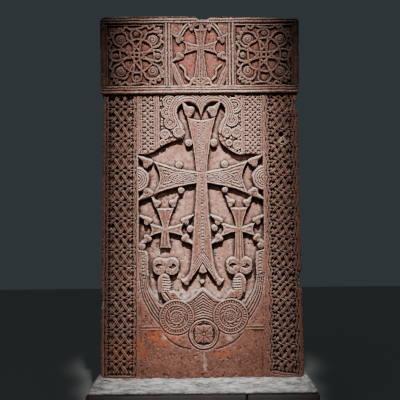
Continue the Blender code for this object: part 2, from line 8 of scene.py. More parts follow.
import bpy
import numpy as np
from mathutils.geometry import delaunay_2d_cdt
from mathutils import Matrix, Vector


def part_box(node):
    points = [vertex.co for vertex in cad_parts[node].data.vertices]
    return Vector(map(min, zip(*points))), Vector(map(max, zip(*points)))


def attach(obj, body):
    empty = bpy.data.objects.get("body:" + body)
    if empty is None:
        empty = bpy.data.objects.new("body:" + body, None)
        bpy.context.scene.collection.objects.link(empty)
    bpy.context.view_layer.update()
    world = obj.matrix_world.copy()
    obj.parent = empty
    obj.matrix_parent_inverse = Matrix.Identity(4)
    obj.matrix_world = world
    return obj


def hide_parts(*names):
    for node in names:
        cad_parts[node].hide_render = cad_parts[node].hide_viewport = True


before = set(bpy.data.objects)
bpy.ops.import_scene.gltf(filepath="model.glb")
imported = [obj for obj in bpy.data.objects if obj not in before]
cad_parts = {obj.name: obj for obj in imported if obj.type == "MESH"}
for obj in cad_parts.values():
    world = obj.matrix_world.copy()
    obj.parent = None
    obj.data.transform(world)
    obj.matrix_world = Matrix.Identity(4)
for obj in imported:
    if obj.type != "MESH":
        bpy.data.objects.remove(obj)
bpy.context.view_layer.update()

# The stone's sizes on the drawing, in millimetres
STONE_TALL = 1988.0
BEDDED = 60.0
HALF_FOOT = 560.0
HALF_NECK = 533.0
HALF_CORNICE = 545.0
CORNICE_Z = 1560.0
CORNICE_STEP = 4.0
CORNICE_FORWARD = 16.0
CORNICE_LEAN = 10.0
CAP_Z = 1900  # above this the grid's rows follow the broken top edge
CHIP_Z = 1791  # the chip in the cornice's left end
LEAST_HALF = 515  # no part of the outline lies nearer to the middle than this
AXIS = 5.0
NICHE_DEPTH = 38.0
PIT_DEPTH = 20.0
PANEL_DEPTH = 15.0
STEEP = 7.0  # millimetres that a carved flank drops for each one across

# The face's cells: 1 mm high, and 1.04 to 1.09 mm wide as the slab narrows
ACROSS, UP = 1024, 2048
SEAM_COLUMNS = (184, 840)  # along the fillets between the borders and the field
SEAM_ROWS = (704, 1056)
CORNICE_ROW = 1620
FINENESS = 1.75  # how far the mesh may leave the carved surface, in millimetres

slab_low, slab_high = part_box("stele")
WIDE = (slab_high[0] - slab_low[0]) / (2 * HALF_FOOT)
TALL = (slab_high[2] - slab_low[2]) / (STONE_TALL + BEDDED)
FACE_Y = slab_low[1] + (CORNICE_FORWARD + CORNICE_LEAN) / 1000
BACK_Y = slab_high[1]
FOOT_Z = slab_low[2] + BEDDED * TALL


def drift(x, z, size, seed):
    """A smooth random value from -1 to 1, with swells about `size` millimetres apart."""
    cells = np.random.default_rng(seed).uniform(-1, 1, (509, 509))
    u, v = x / size, z / size
    i, j = np.floor(u).astype(int), np.floor(v).astype(int)
    u, v = u - i, v - j
    u, v = u * u * (3 - 2 * u), v * v * (3 - 2 * v)
    i, j = i % 508, j % 508
    low = cells[j, i] * (1 - u) + cells[j, i + 1] * u
    high = cells[j + 1, i] * (1 - u) + cells[j + 1, i + 1] * u
    return low * (1 - v) + high * v


def ramp(value, low, high):
    """From 0 at one value to 1 at another, eased at both ends."""
    t = np.clip((value - low) / (high - low), 0, 1)
    return t * t * (3 - 2 * t)


def smooth(points, pieces=6, closed=False):
    """A round line through a few points: each has x, z and, if wanted, a half width."""
    points = np.array(points, float)
    if closed:
        padded = np.vstack([points[-1], points, points[:2]])
    else:
        padded = np.vstack([2 * points[0] - points[1], points, 2 * points[-1] - points[-2]])
    made = []
    for a, b, c, d in zip(padded, padded[1:], padded[2:], padded[3:]):
        for t in np.arange(pieces) / pieces:
            made.append(b + 0.5 * t * (c - a + t * (2 * a - 5 * b + 4 * c - d + t * (3 * (b - c) + d - a))))
    if not closed:
        made.append(points[-1])
    return np.array(made)


def arc(x, z, radius, start, end, pieces=24):
    """Points on a circle, from one angle to another, in degrees from +x."""
    angles = np.radians(np.linspace(start, end, pieces + 1))
    return np.column_stack([x + radius * np.cos(angles), z + radius * np.sin(angles)])


def circle(x, z, radius, pieces=28):
    return arc(x, z, radius, 0, 360, pieces)[:-1]


def nearest(path, x, z, closed=False):
    """How far each spot is from a line, how far along the line that is, and on which side."""
    starts = path if closed else path[:-1]
    ends = np.roll(path, -1, 0) if closed else path[1:]
    away, along, side = np.full(x.shape, 1e9), np.zeros(x.shape), np.ones(x.shape)
    travelled = 0.0
    for a, b in zip(starts, ends):
        run = b[:2] - a[:2]
        length = max(math.hypot(*run), 1e-6)
        dx, dz = x - a[0], z - a[1]
        t = np.clip((dx * run[0] + dz * run[1]) / length ** 2, 0, 1)
        distance = np.hypot(dx - t * run[0], dz - t * run[1])
        closer = distance < away
        away = np.where(closer, distance, away)
        along = np.where(closer, travelled + t * length, along)
        side = np.where(closer, np.sign(run[0] * dz - run[1] * dx), side)
        travelled += length
    return away, along, side


def inside_distance(outline, x, z):
    """The distance to a closed outline, positive inside it."""
    outline = np.asarray(outline, float)[:, :2]
    away = nearest(outline, x, z, True)[0]
    inside = np.zeros(x.shape, bool)
    for a, b in zip(outline, np.roll(outline, -1, 0)):
        if a[1] != b[1]:
            crosses = (a[1] > z) != (b[1] > z)
            inside ^= crosses & (x < a[0] + (z - a[1]) / (b[1] - a[1]) * (b[0] - a[0]))
    return np.where(inside, away, -away)


# The slab's outline
LEFT_BREAKS = ((410, 5, 30), (905, 4, 25), (1355, 9, 18), (1518, 12, 20))
RIGHT_BREAKS = ((535, 15, 62), (1495, 13, 30), (1130, 4, 30))


def side_line(z, side, breaks, seed):
    """How far one side of the slab lies from its middle, with its broken arris."""
    taper = HALF_FOOT + (HALF_NECK - HALF_FOOT) * np.clip(z / CORNICE_Z, 0, 1)
    step = np.clip((z - CORNICE_Z) / CORNICE_STEP, 0, 1)
    line = taper + (HALF_CORNICE - HALF_NECK) * step
    for centre, depth, reach in breaks:
        near = 1 - ramp(np.abs(z - centre), reach * 0.3, reach)
        line -= depth * near * (0.85 + 0.15 * drift(z, z, 9, seed))
    nicks = np.clip(drift(z * 0 + 40 * side, z, 22, seed + 1) - 0.35, 0, 1) * 5
    line -= nicks * (z > 20) + np.abs(drift(z * 0, z, 7, seed + 2)) * 0.8 * (z > 0)
    if side < 0:
        line -= 8 * (1 - ramp(np.abs(z - CHIP_Z), 2, 9))
    return side * line


def top_line(x):
    """The height of the cornice's top edge, worn round at its ends and broken over the small cross."""
    across = np.array([-545, -538, -528, -452, -300, -120, -24, -10, 44, 60, 200, 400, 528, 540, 545],
                      float)
    falls = np.array([30, 16, 9, 0, 2, 5, 8, 21, 24, 10, 10, 18, 22, 28, 36], float)
    return STONE_TALL - np.interp(x, across, falls) - 2.2 * np.clip(drift(x, x * 0, 26, 31), 0, 1)


class Face:
    """The carved face: where its grid lies, on the stone and on the drawing, and how far it stands out."""

    def __init__(self):
        level = np.arange(UP + 1) * (STONE_TALL + BEDDED) / UP - BEDDED
        left = side_line(level, -1, LEFT_BREAKS, 11)[:, None]
        right = side_line(level, 1, RIGHT_BREAKS, 21)[:, None]
        self.across = left + (right - left) * np.linspace(0, 1, ACROSS + 1)
        high = np.clip((level[:, None] - CAP_Z) / (STONE_TALL - CAP_Z), 0, None)
        self.up = np.where(high > 0, CAP_Z + high * (top_line(self.across) - CAP_Z), level[:, None])
        # The mason drew by hand, so no line on the stone is quite straight or round
        wide, fine = drift(self.across, self.up, 62, 5), drift(self.across, self.up, 23, 6)
        self.x = self.across + 1.5 * wide + 0.9 * fine
        wide, fine = drift(self.across, self.up, 62, 7), drift(self.across, self.up, 23, 8)
        self.z = self.up + 1.5 * wide + 0.9 * fine
        self.height = CORNICE_FORWARD * np.clip((self.up - CORNICE_Z) / CORNICE_STEP, 0, 1)
        self.marks = {name: np.zeros(self.x.shape) for name in ("fresh", "blush", "ochre", "cornice_darkening")}

    def near(self, points, reach):
        """The window of the grid that holds everything within reach of some points."""
        points = np.asarray(points, float)[:, :2]
        (x0, z0), (x1, z1) = points.min(0) - reach - 4, points.max(0) + reach + 4
        columns = [0.5 * ACROSS * (1 + min(x0 / half for half in (HALF_FOOT, LEAST_HALF))) - 2]
        columns.append(0.5 * ACROSS * (1 + max(x1 / half for half in (HALF_FOOT, LEAST_HALF))) + 3)
        rows = [z0 + BEDDED - 2, z1 + BEDDED + (40 if z1 > CAP_Z - 10 else 3)]
        c0, c1 = np.clip(columns, 0, ACROSS + 1).astype(int)
        r0, r1 = np.clip(rows, 0, UP + 1).astype(int)
        return np.s_[r0:r1, c0:c1]

    def lift(self, part, level):
        self.height[part] = np.maximum(self.height[part], level)

    def cut(self, part, level):
        self.height[part] = np.minimum(self.height[part], level)


face = Face()


# The carver's forms
def crown(away, half, rise):
    """A round back that drops by `rise` to its edge and steeply beyond it."""
    t = np.clip(away / half, 0, 1)
    return -rise * (1 - np.sqrt(1 - t * t)) - STEEP * np.clip(away - half, 0, None)


def strap(away, half):
    """The section of an interlaced band: two ridges with a groove cut between them."""
    t = away / half
    groove = 0.85 * half * np.clip(1 - t / 0.6, 0, 1)
    flank = STEEP * np.clip(away - half, 0, None)
    return -groove - 0.2 * half * np.clip((t - 0.6) / 0.4, 0, 1) ** 2 - flank


def bead(path, half, level, rise=None, closed=False):
    """A moulding with a round back."""
    path = np.asarray(path, float)
    part = face.near(path, half + 13)
    away = nearest(path, face.x[part], face.z[part], closed)[0]
    face.lift(part, level + crown(away, half, half * 0.8 if rise is None else rise))


def tapered(path, level, rise):
    """A moulding whose half width is the third number of each of its points."""
    path = np.asarray(path, float)
    part = face.near(path, path[:, 2].max() + 13)
    x, z = face.x[part], face.z[part]
    away, along, _ = nearest(path, x, z)
    travelled = np.append(0, np.cumsum(np.hypot(*np.diff(path[:, :2], axis=0).T)))
    half = np.interp(along, travelled, path[:, 2])
    t = np.clip(away / half, 0, 1)
    face.lift(part, level - rise * (1 - np.sqrt(1 - t * t)) - STEEP * np.clip(away - half, 0, None))


def groove(path, half, depth, closed=False):
    """A channel of V section, cut into whatever stands there."""
    path = np.asarray(path, float)
    part = face.near(path, half + 1)
    away = nearest(path, face.x[part], face.z[part], closed)[0]
    face.height[part] -= depth * np.clip(1 - away / half, 0, 1)


def block(outline, level, dome=0.0, reach=12.0):
    """A raised form with a closed outline, flat or domed over `reach`."""
    part = face.near(outline, 13)
    depth = inside_distance(outline, face.x[part], face.z[part])
    top = level + dome * (1 - (1 - np.clip(depth / reach, 0, 1)) ** 2)
    face.lift(part, top + STEEP * np.clip(depth, None, 0))


def sink(outline, level, flank=3.0):
    """A sunk field with a closed outline, its walls almost upright."""
    part = face.near(outline, 2)
    depth = inside_distance(outline, face.x[part], face.z[part])
    face.cut(part,
             np.where(depth > 0, level + (face.height[part] - level) * (1 - ramp(depth, 0, flank)), 1e9))


def boss(x, z, radius, level, rise=None):
    """A round knob."""
    part = face.near([(x, z)], radius + 13)
    away = np.hypot(face.x[part] - x, face.z[part] - z)
    face.lift(part, level + crown(away, radius, radius * 0.5 if rise is None else rise))


def curl(x, z, radius, level, hand=1):
    """A knob with a spiral cut into it."""
    boss(x, z, radius, level, radius * 0.3)
    part = face.near([(x, z)], radius)
    dx, dz = face.x[part] - x, face.z[part] - z
    away = np.hypot(dx, dz)
    pitch = max(radius * 0.5, 5.5)
    phase = (away / pitch - hand * np.arctan2(dz, dx) / (2 * math.pi)) % 1
    cut = np.clip(1 - np.abs(phase - 0.5) / 0.34, 0, 1) * (1 - ramp(away, radius * 0.82, radius))
    face.height[part] -= min(7.0, 0.42 * radius) * cut * (away > pitch * 0.3)


def box_outline(x0, x1, z0, z1):
    return [(x0, z0), (x1, z0), (x1, z1), (x0, z1)]


# Knotwork
TURN = 0.604  # the radius at which a band turns back at a plait's side, in lanes
TURN_ENDS, TURN_GAINS = 0.293, 0.414  # where the turn gets to 45 degrees, and what it runs ahead there


def folded(margin):
    """Straightens the round turns: the band's run along the side against its distance from that side."""
    turned = np.sqrt(np.clip(2 * TURN * margin - margin ** 2, 0, None))
    return np.where(margin < TURN_ENDS * TURN, turned, margin + TURN_GAINS * TURN)


def plait(a, b, lanes, cell, half, pit, foot=None):
    """The height of a plait under its top: `a` across its lanes, `b` along it, a pit every second step."""
    margin = np.minimum(a, lanes - a) - 0.25
    across = np.where(a < lanes / 2, folded(margin), lanes - folded(margin))
    along = b if foot is None else foot + folded(b - foot - 0.25)
    p, q = across + along - 0.5, across - along - 0.5
    near_p, near_q = np.round(p), np.round(q)
    sign_p, sign_q = 1 - 2 * (near_p % 2), 1 - 2 * (near_q % 2)
    fade = 0.5 * pit * 0.42 * ramp(margin, 0.05, 0.5)
    rising = strap(np.abs(p - near_p) * 0.7071 * cell, half) - fade * (1 - np.cos(math.pi * q) * sign_p)
    falling = strap(np.abs(q - near_q) * 0.7071 * cell, half) - fade * (1 + np.cos(math.pi * p) * sign_q)
    height = np.maximum(rising, falling)
    step = b - np.round(b)
    side_turn = strap(np.abs(np.hypot(TURN - margin, step) - TURN) * cell, half)
    height = np.where(TURN - margin > np.abs(step), side_turn, height)
    if foot is not None:
        low = b - foot - 0.25
        shift = a - np.round(a)
        foot_turn = strap(np.abs(np.hypot(TURN - low, shift) - TURN) * cell, half)
        height = np.where((TURN - low > np.abs(shift)) & (margin > 0.1), foot_turn, height)
        margin = np.minimum(margin, low)
    ground = -pit * (0.4 + 0.6 * ramp(margin, 0.0, 0.4))
    return np.maximum(np.maximum(height, ground), -STEEP * np.clip(margin + 0.22, 0, None) * cell)


def crossings(strands):
    """Where the strands of a knot cross, with each strand's place along itself, and which passes over."""
    found = [[] for _ in strands]
    runs = []
    for path, closed in strands:
        ends = np.roll(path, -1, 0) if closed else path[1:]
        starts = path if closed else path[:-1]
        lengths = np.hypot(*(ends - starts).T)
        runs.append((starts, ends - starts, np.append(0, np.cumsum(lengths))[:-1], lengths))
    number = 0
    for i in range(len(strands)):
        for j in range(i, len(strands)):
            (a, u, a_travel, a_length), (b, v, b_travel, b_length) = runs[i], runs[j]
            gap = b[None] - a[:, None]
            turn = u[:, None, 0] * v[None, :, 1] - u[:, None, 1] * v[None, :, 0]
            turn = np.where(np.abs(turn) < 1e-9, 1e-9, turn)
            s = (gap[..., 0] * v[None, :, 1] - gap[..., 1] * v[None, :, 0]) / turn
            t = (gap[..., 0] * u[:, None, 1] - gap[..., 1] * u[:, None, 0]) / turn
            hit = (s > 0) & (s <= 1) & (t > 0) & (t <= 1)
            if i == j:
                count = len(a)
                apart = np.abs(np.arange(count)[:, None] - np.arange(count)[None])
                earlier = np.arange(count)[:, None] < np.arange(count)[None]
                hit &= (apart > 1) & (apart < count - 1) & earlier
            for m, n in zip(*np.nonzero(hit)):
                found[i].append([a_travel[m] + s[m, n] * a_length[m], number])
                found[j].append([b_travel[n] + t[m, n] * b_length[n], number])
                number += 1
    over = {}
    for i, passes in enumerate(found):
        passes.sort()
        flip = 0
        for k, (_, name) in enumerate(passes):
            if name in over and over[name][0] != i:
                flip = (k + (over[name][1] > 0)) % 2
                break
        for k, entry in enumerate(passes):
            sign = 1 if (k + flip) % 2 == 0 else -1
            if entry[1] in over and over[entry[1]][0] != i:
                sign = -over[entry[1]][1]
            over[entry[1]] = (i, sign)
            entry.append(sign)
    return found


def knot(strands, half, level, dip=None):
    """Bands woven over and under each other. A strand is a line, and whether it closes."""
    strands = [(np.asarray(path, float)[:, :2], closed) for path, closed in strands]
    dip = half * 0.55 if dip is None else dip
    for (path, closed), passes in zip(strands, crossings(strands)):
        part = face.near(path, half + 13)
        away, along, _ = nearest(path, face.x[part], face.z[part], closed)
        total = np.sum(np.hypot(*np.diff(np.vstack([path, path[:1]]) if closed else path, axis=0).T))
        low = np.zeros(away.shape)
        for place, _, sign in passes:
            if sign < 0:
                gap = np.abs(along - place)
                gap = np.minimum(gap, total - gap) if closed else gap
                low = np.maximum(low, 1 - ramp(gap, half * 0.7, half * 2.2))
        face.lift(part, level + strap(away, half) - dip * low)


def half_slab(z):
    return HALF_FOOT + (HALF_NECK - HALF_FOOT) * np.clip(z / CORNICE_Z, 0, 1)


def broad_border(side):
    """A broad border: four lanes whose rows are drawn out by turns into tall lenses and flat ones."""
    part = face.near([(side * 340, 0), (side * 560, CORNICE_Z)], 0)
    x, z = face.x[part], face.z[part]
    low = 1 - np.clip(z / CORNICE_Z, 0, 1)
    if side < 0:
        first, width, pitch, start = -half_slab(z) + 14.5, 171 + 12 * low, 43.8, 0.7
        swing, lean, sink_right = 8.6, 0.0, 0.0
    else:
        first, width, pitch, start = half_slab(z) - 178 - 7 * low, 161 + 2 * low, 42.3, 14.7
        swing, lean, sink_right = 2.0 + 7.0 * ramp(x, 400, 450), 4.6, 0.075
    height = z + sink_right * (x - first)
    straight = height
    for _ in range(12):
        straight = height - swing * np.sin(math.pi * (straight - start) / pitch - math.pi)
    b = (straight - start) / pitch
    shifted = x - lean * np.sin(math.pi * (b - 1))
    a = (shifted - first) / width * 4
    woven = plait(a, b, 4, pitch, 5.6, PIT_DEPTH * (0.85 + 0.3 * drift(x, z, 70, 15)), foot=0.0)
    inside = (a > 0) & (a < 4) & (b > 0) & (face.up[part] < CORNICE_Z - 1)
    face.cut(part, np.where(inside, woven, 1e9))


def narrow_plait(x0, x1, z0, z1, lanes, half, pit):
    """A straight upright plait between two lines, over whatever ground is there."""
    part = face.near([(x0, z0), (x1, z1)], 2)
    x, z = face.x[part], face.z[part]
    cell = (x1 - x0) / lanes
    woven = plait((x - x0) / cell, (z - z0) / cell, lanes, cell, half, pit)
    inside = (x > x0) & (x < x1) & (z > z0) & (z < z1) & (face.up[part] < CORNICE_Z - 1)
    face.cut(part, np.where(inside, woven, 1e9))


def trefoil_knot(x, z, reach, loops, turn, inner):
    """A closed strand that swings round a centre in loops, and passes close by it between them."""
    angles = np.linspace(0, 2 * math.pi, loops * 22, endpoint=False)
    big, small = (reach + inner) / 2, (reach - inner) / 2
    px = big * np.cos(angles) + small * np.cos((loops - 1) * angles)
    pz = big * np.sin(angles) - small * np.sin((loops - 1) * angles)
    c, s = math.cos(turn), math.sin(turn)
    return np.column_stack([x + c * px - s * pz, z + s * px + c * pz]), True


# Leaves, arms and crosses
LEAF = [(-0.82, -0.15), (-0.40, -0.48), (0.20, -0.84), (0.66, -0.55), (0.72, 0.10), (1.15, 0.62),
        (1.50, 1.08),
        (0.78, 0.92), (0.05, 0.66), (-0.55, 0.42)]


def dumbbell(x, z, reach, waist, end, turn):
    """A closed strand drawn out to both sides, with a round loop at each end."""
    middle = reach - end
    line = np.vstack([arc(middle, 0, end, 125, -125, 20), [(0, -waist)],
                      arc(-middle, 0, end, -55, -305, 20), [(0, waist)]])
    c, s = math.cos(math.radians(turn)), math.sin(math.radians(turn))
    return smooth(np.column_stack([x + c * line[:, 0] - s * line[:, 1],
                                   z + s * line[:, 0] + c * line[:, 1]]), 2, True), True


def leaf_bud(body, along, outward, size, level):
    """The bud at the corner of an arm's end: a slim pointed leaf with three curls at its foot."""
    hand = 1 if along[0] * outward[1] - along[1] * outward[0] > 0 else -1
    at = [body + size * (s * along + t * outward) for s, t in LEAF]
    block(smooth(at, 4, closed=True), level - 7.0, 3.0, size * 0.2)
    for s, t, radius, turn in ((0.20, -0.42, 0.42, -hand), (-0.46, 0.02, 0.38, hand),
                               (0.30, 0.34, 0.34, hand)):
        curl(*(body + size * (s * along + t * outward)), size * radius, level + 1.0, turn)
    tip = [body + size * (s * along + t * outward) for s, t in ((0.45, 0.55), (0.92, 0.68), (1.52, 1.08))]
    tapered(smooth([(*p, size * w) for p, w in zip(tip, (0.24, 0.22, 0.05))], 5), level + 1.0, size * 0.12)


def bud_pair(centre, angle, length, spread, size, level):
    turned = math.radians(angle)
    along = np.array([math.cos(turned), math.sin(turned)])
    across = np.array([-along[1], along[0]])
    for side in (-1, 1):
        body = np.array(centre) + along * (length + size * 0.55) + across * side * spread
        leaf_bud(body, along, side * across, size, level)


def ribbed(q, u):
    """Lines cut along an arm, which follow its edges and swell round two nests of lozenges."""
    phase = 3.4 * u + 0.2 * np.sin(14 * q)
    for middle, reach in ((0.52, 0.27), (0.86, 0.13)):
        nest = np.abs(q - middle) / reach + u / 0.85
        phase = np.where(nest < 1, 3.0 * nest, phase)
    return -3.4 * (1 + np.cos(2 * math.pi * phase))


def arm(centre, angle, length, root, end, level, bow=0.1, rim=7.0, filling="ridge"):
    """One arm of a cross: it widens to a bowed end, has a rim along its edges and carving between."""
    turned = math.radians(angle)
    e, n = (math.cos(turned), math.sin(turned)), (-math.sin(turned), math.cos(turned))
    tip = (centre[0] + e[0] * length, centre[1] + e[1] * length)
    part = face.near([centre, tip], end + 14)
    dx, dz = face.x[part] - centre[0], face.z[part] - centre[1]
    s, t = dx * e[0] + dz * e[1], dx * n[0] + dz * n[1]
    q = np.clip(s / length, 0, 1.1)
    width = root + (end - root) * (0.44 * q + 0.56 * q * q)
    stop = length * (1 - bow * (1 - np.clip(t / end, -1, 1) ** 2))
    edge = np.minimum(width - np.abs(t), stop - s)
    inner = np.clip(width - rim, 1, None)
    if filling == "lozenges":
        field = level - 0.5 + ribbed(q, np.abs(t) / inner)
    elif filling == "plait":
        strip = np.clip(0.62 * inner, 9, None)
        woven = plait((t / strip + 1) * 1.5, s / 15, 3, 15, 3.6, 9.0)
        field = np.where(np.abs(t) < strip, level + woven, level - 0.5)
    elif filling == "grooves":
        field = level - 2.0 - 2.0 * np.cos(t / 2.2)
    else:
        field = level - 3.2 + 3.0 * (1 - np.clip(np.abs(t) / 3.5, 0, 1) ** 2)
    top = np.where(edge > rim, level + (field - level) * ramp(edge, rim, rim + 1.5), level)
    if filling != "ridge":
        top = top - 4.0 * (1 - ramp(np.abs(edge - rim), 0.5, 2.6))
    face.lift(part, np.where(s > -2, top + STEEP * np.clip(edge, None, 0), -1e9))


def great_cross():
    centre, level = (AXIS, 1100), -3.0
    shaft_left = smooth([(-22, 1090), (-27, 980), (-43, 790), (-50, 690), (-56, 630), (-62, 585),
                         (-78, 548)], 4)
    shaft_right = smooth([(88, 548), (72, 585), (64, 630), (58, 690), (50, 790), (36, 980), (32, 1090)], 4)
    foot = [(-60, 538), (-46, 562), (5, 634), (56, 562), (70, 538)]
    block(np.vstack([shaft_left, foot, shaft_right]), level)
    arm(centre, 90, 330, 24, 75, level, 0.06, 7, "plait")
    arm(centre, 180, 258, 24, 86, level, 0.12, 6, "lozenges")
    arm(centre, 0, 252, 24, 86, level, 0.12, 6, "lozenges")
    shaft_plait(level)
    for k in range(4):
        chevron = [(AXIS - 50, 574 + 17 * k), (AXIS, 648 + 17 * k), (AXIS + 50, 574 + 17 * k)]
        groove(chevron, 4.2, 6.5)
    block([(5, 620), (-7, 602), (-14, 580), (5, 572), (24, 580), (17, 602)], level - 2, 2.0, 8)
    boss(4, 524, 10, -12.0)
    bud_pair(centre, 90, 345, 67, 36, -1.0)
    bud_pair(centre, 180, 280, 85, 33, -1.0)
    bud_pair(centre, 0, 268, 85, 33, -1.0)
    volutes = ((-64, 1292, 18, 1), (74, 1288, 18, -1), (-62, 815, 15, 1), (73, 820, 15, -1),
               (-120, 1168, 16, -1), (132, 1172, 16, 1), (-110, 1030, 14, 1), (132, 1030, 14, -1))
    for x, z, radius, hand in volutes:
        curl(x, z, radius, -2.0, hand)
    for side in (-1, 1):
        leg = [(AXIS + side * 60, 566, 9), (AXIS + side * 78, 540, 12), (AXIS + side * 100, 528, 9),
               (AXIS + side * 112, 536, 3)]
        tapered(smooth(leg, 5), -5.0, 7)
        curl(AXIS + side * 90, 520, 12, -4.0, side)


def shaft_plait(level):
    """The narrow plait down the great cross, from its upper arm to its foot."""
    part = face.near([(-30, 660), (45, 1110)], 0)
    x, z = face.x[part], face.z[part]
    middle = AXIS + 1 + (1100 - z) * 0.004
    half = 16 + 3.5 * (1 - ramp(z, 760, 1040))
    woven = level + plait((x - middle) / half + 1, z / 18, 2, 18, 4.6, 12.0)
    inside = (np.abs(x - middle) < half) & (z > 668) & (z < 1108)
    face.height[part] = np.where(inside, woven, face.height[part])


def small_cross(side):
    """A small cross beside the great one's shaft. The left one has lost the lower half of its foot."""
    centre, level = (AXIS + side * 204, 812), -7.0
    outer, inner = (180, 0) if side < 0 else (0, 180)
    arm(centre, 90, 120, 12, 46, level, 0.05, 5)
    arm(centre, outer, 84, 8, 34, level, 0.12, 5)
    arm(centre, inner, 98, 8, 34, level, 0.12, 5)
    arm(centre, 270, 98 if side < 0 else 188, 17, 27, level, 0.02, 5, "ridge" if side < 0 else "grooves")
    for angle, reach, spread, size in ((90, 132, 46, 24), (outer, 84, 50, 26), (inner, 98, 50, 26)):
        bud_pair(centre, angle, reach, spread, size, level + 3)
    foot = np.array([(-60, 580), (60, 580), (68, 608), (56, 640), (18, 646), (-18, 646), (-56, 640),
                     (-68, 608)], float)
    block(smooth(foot + (centre[0], 0), 3, closed=True), level - 9, 1.0, 6)
    strands = [dumbbell(centre[0], 611, 66, 8, 30, turn) for turn in (0, 14, -14)]
    knot(strands + [trefoil_knot(centre[0], 611, 33, 4, 0.4, 7)], 4.6, level + 4, 4.0)
    boss(*centre, 7, level + 2)


# The ground, and what frames it
def niche():
    """The deep recess behind the crosses, with two round lobes at its top and a ledge at its foot."""
    half = 346
    left_top = smooth([(-345, 1232), (-285, 1236), (-215, 1275), (-150, 1305), (-100, 1320), (-88, 1345)],
                      6)
    left_neck = smooth([(-88, 1345), (-102, 1388), (-126, 1422)], 6)[1:]
    lobes = np.vstack([arc(-67, 1458, 63, 185, 10, 24), [(5, 1438)], arc(77, 1458, 63, 170, -5, 24)])
    right_neck = smooth([(134, 1428), (113, 1392), (102, 1350)], 6)[:-1]
    right_top = smooth([(102, 1350), (112, 1300), (155, 1258), (212, 1228), (270, 1232), (345, 1222)], 6)
    right_wing = smooth([(half, 700), (304, 672), (300, 520), (272, 440), (238, 392), (208, 386)], 6)
    ledge = smooth([(208, 386), (166, 478), (112, 421), (60, 446), (5, 490)], 6)[1:]
    left_ledge = smooth([(5, 490), (-50, 442), (-100, 420), (-160, 474), (-204, 388)], 6)[1:-1]
    left_wing = smooth([(-204, 388), (-236, 400), (-266, 448), (-294, 515), (-300, 676), (-half, 704)], 6)
    outline = np.vstack([left_top, left_neck, lobes, right_neck, right_top, right_wing, ledge, left_ledge,
                         left_wing])
    sink(outline, -NICHE_DEPTH, 3.5)
    return outline


def berries(outline, keep_off, level, seed):
    """Small round fruits that fill what is left between the wheels."""
    outline = np.asarray(outline, float)
    low, high = outline.min(0), outline.max(0)
    chance = np.random.default_rng(seed)
    taken = [(x, z, radius) for x, z, radius, *_ in keep_off]
    for _ in range(700):
        x, z = chance.uniform(low, high)
        radius = chance.uniform(3.5, 7.5)
        apart = min(math.hypot(x - a, z - b) - c for a, b, c in taken)
        depth = inside_distance(outline, np.array([[x]]), np.array([[z]]))[0, 0]
        if apart > radius + 2.0 and depth > radius - 1:
            taken.append((x, z, radius))
            boss(x, z, radius, level + chance.uniform(-4, 1))


def medallion(x, z, radius, hand):
    """A wheel of three rings, cut like rope between them, with a spiral at its middle."""
    block(circle(x, z, radius + 1), -6)
    sink(circle(x, z, radius + 1), -9, 2)
    bead(circle(x, z, radius - 4), 4.2, 2, closed=True)
    bead(circle(x, z, radius * 0.62), 3.6, 0.5, closed=True)
    wheel_ticks(x, z, radius * 0.62, radius - 4, 18, 3.5, 1.5 * hand)
    curl(x, z, radius * 0.36, 0.5, hand)


def spandrels():
    """Between the cornice and the niche: narrow plaits, wheels, small fruits and the lobes' mouldings."""
    left = [(-226, 1556), (-226, 1262), (-150, 1300), (-92, 1322), (-80, 1345), (-126, 1440), (-120, 1500),
            (-60, 1556)]
    right = [(228, 1556), (228, 1226), (160, 1250), (108, 1300), (98, 1340), (136, 1440), (132, 1500),
             (70, 1556)]
    wheels = ((-170, 1516, 37, 1), (-183, 1456, 31, -1), (-166, 1402, 33, 1), (-122, 1350, 30, -1),
              (-196, 1338, 26, 1), (186, 1494, 43, -1), (174, 1411, 34, 1), (145, 1347, 28, -1),
              (199, 1345, 27, 1), (204, 1276, 25, -1), (158, 1288, 17, 1), (210, 1548, 16, 1),
              (-206, 1292, 18, -1))
    for outline in (left, right):
        sink(outline, -11.0, 2)
    for wheel in wheels:
        medallion(*wheel)
    berries(left, wheels, -1.0, 103)
    berries(right, wheels, -1.0, 104)
    narrow_plait(-334, -244, 1225, 1562, 3, 4.6, 13.0)
    narrow_plait(232, 344, 1215, 1562, 4, 4.4, 13.0)
    for x0, x1 in ((-242, -226), (225, 231)):
        block(box_outline(x0, x1, 1240, 1556), 0.0)
    groove([(-234, 1255), (-234, 1552)], 2.5, 3.5)
    for x, start, end in ((-67, 200, 20), (77, 160, -20)):
        for radius, half in ((70, 5.5), (82, 5), (94, 5), (105, 4)):
            groove(arc(x, 1458, radius + 6, start, end, 30), 3.2, 5.0)
            bead(arc(x, 1458, radius, start, end, 30), half, 1.5)
    for side in (-1, 1):
        neck = [(AXIS + side * 140, 1442), (AXIS + side * 119, 1392), (AXIS + side * 103, 1345)]
        bead(smooth(neck, 6), 6, 1.0)
        groove(smooth([(x + side * 7, z) for x, z in neck], 6), 3, 4.0)
        bead(smooth([(x + side * 13, z) for x, z in neck], 6), 4, 0.5)


def half_wheels():
    """The half wheels that grow from the borders at the great cross's arms."""
    for side, z in ((-1, 1092), (1, 1095)):
        x = side * 352
        start, end = (-80, 80) if side < 0 else (100, 260)
        block(arc(x, z, 66, start, end, 20), -10.0)
        for radius, half in ((60, 5.5), (47, 4.5), (35, 4.5), (23, 4)):
            bead(arc(x, z, radius, start, end, 22), half, 0.5)
        boss(x - side * 4, z, 12, 0.0)


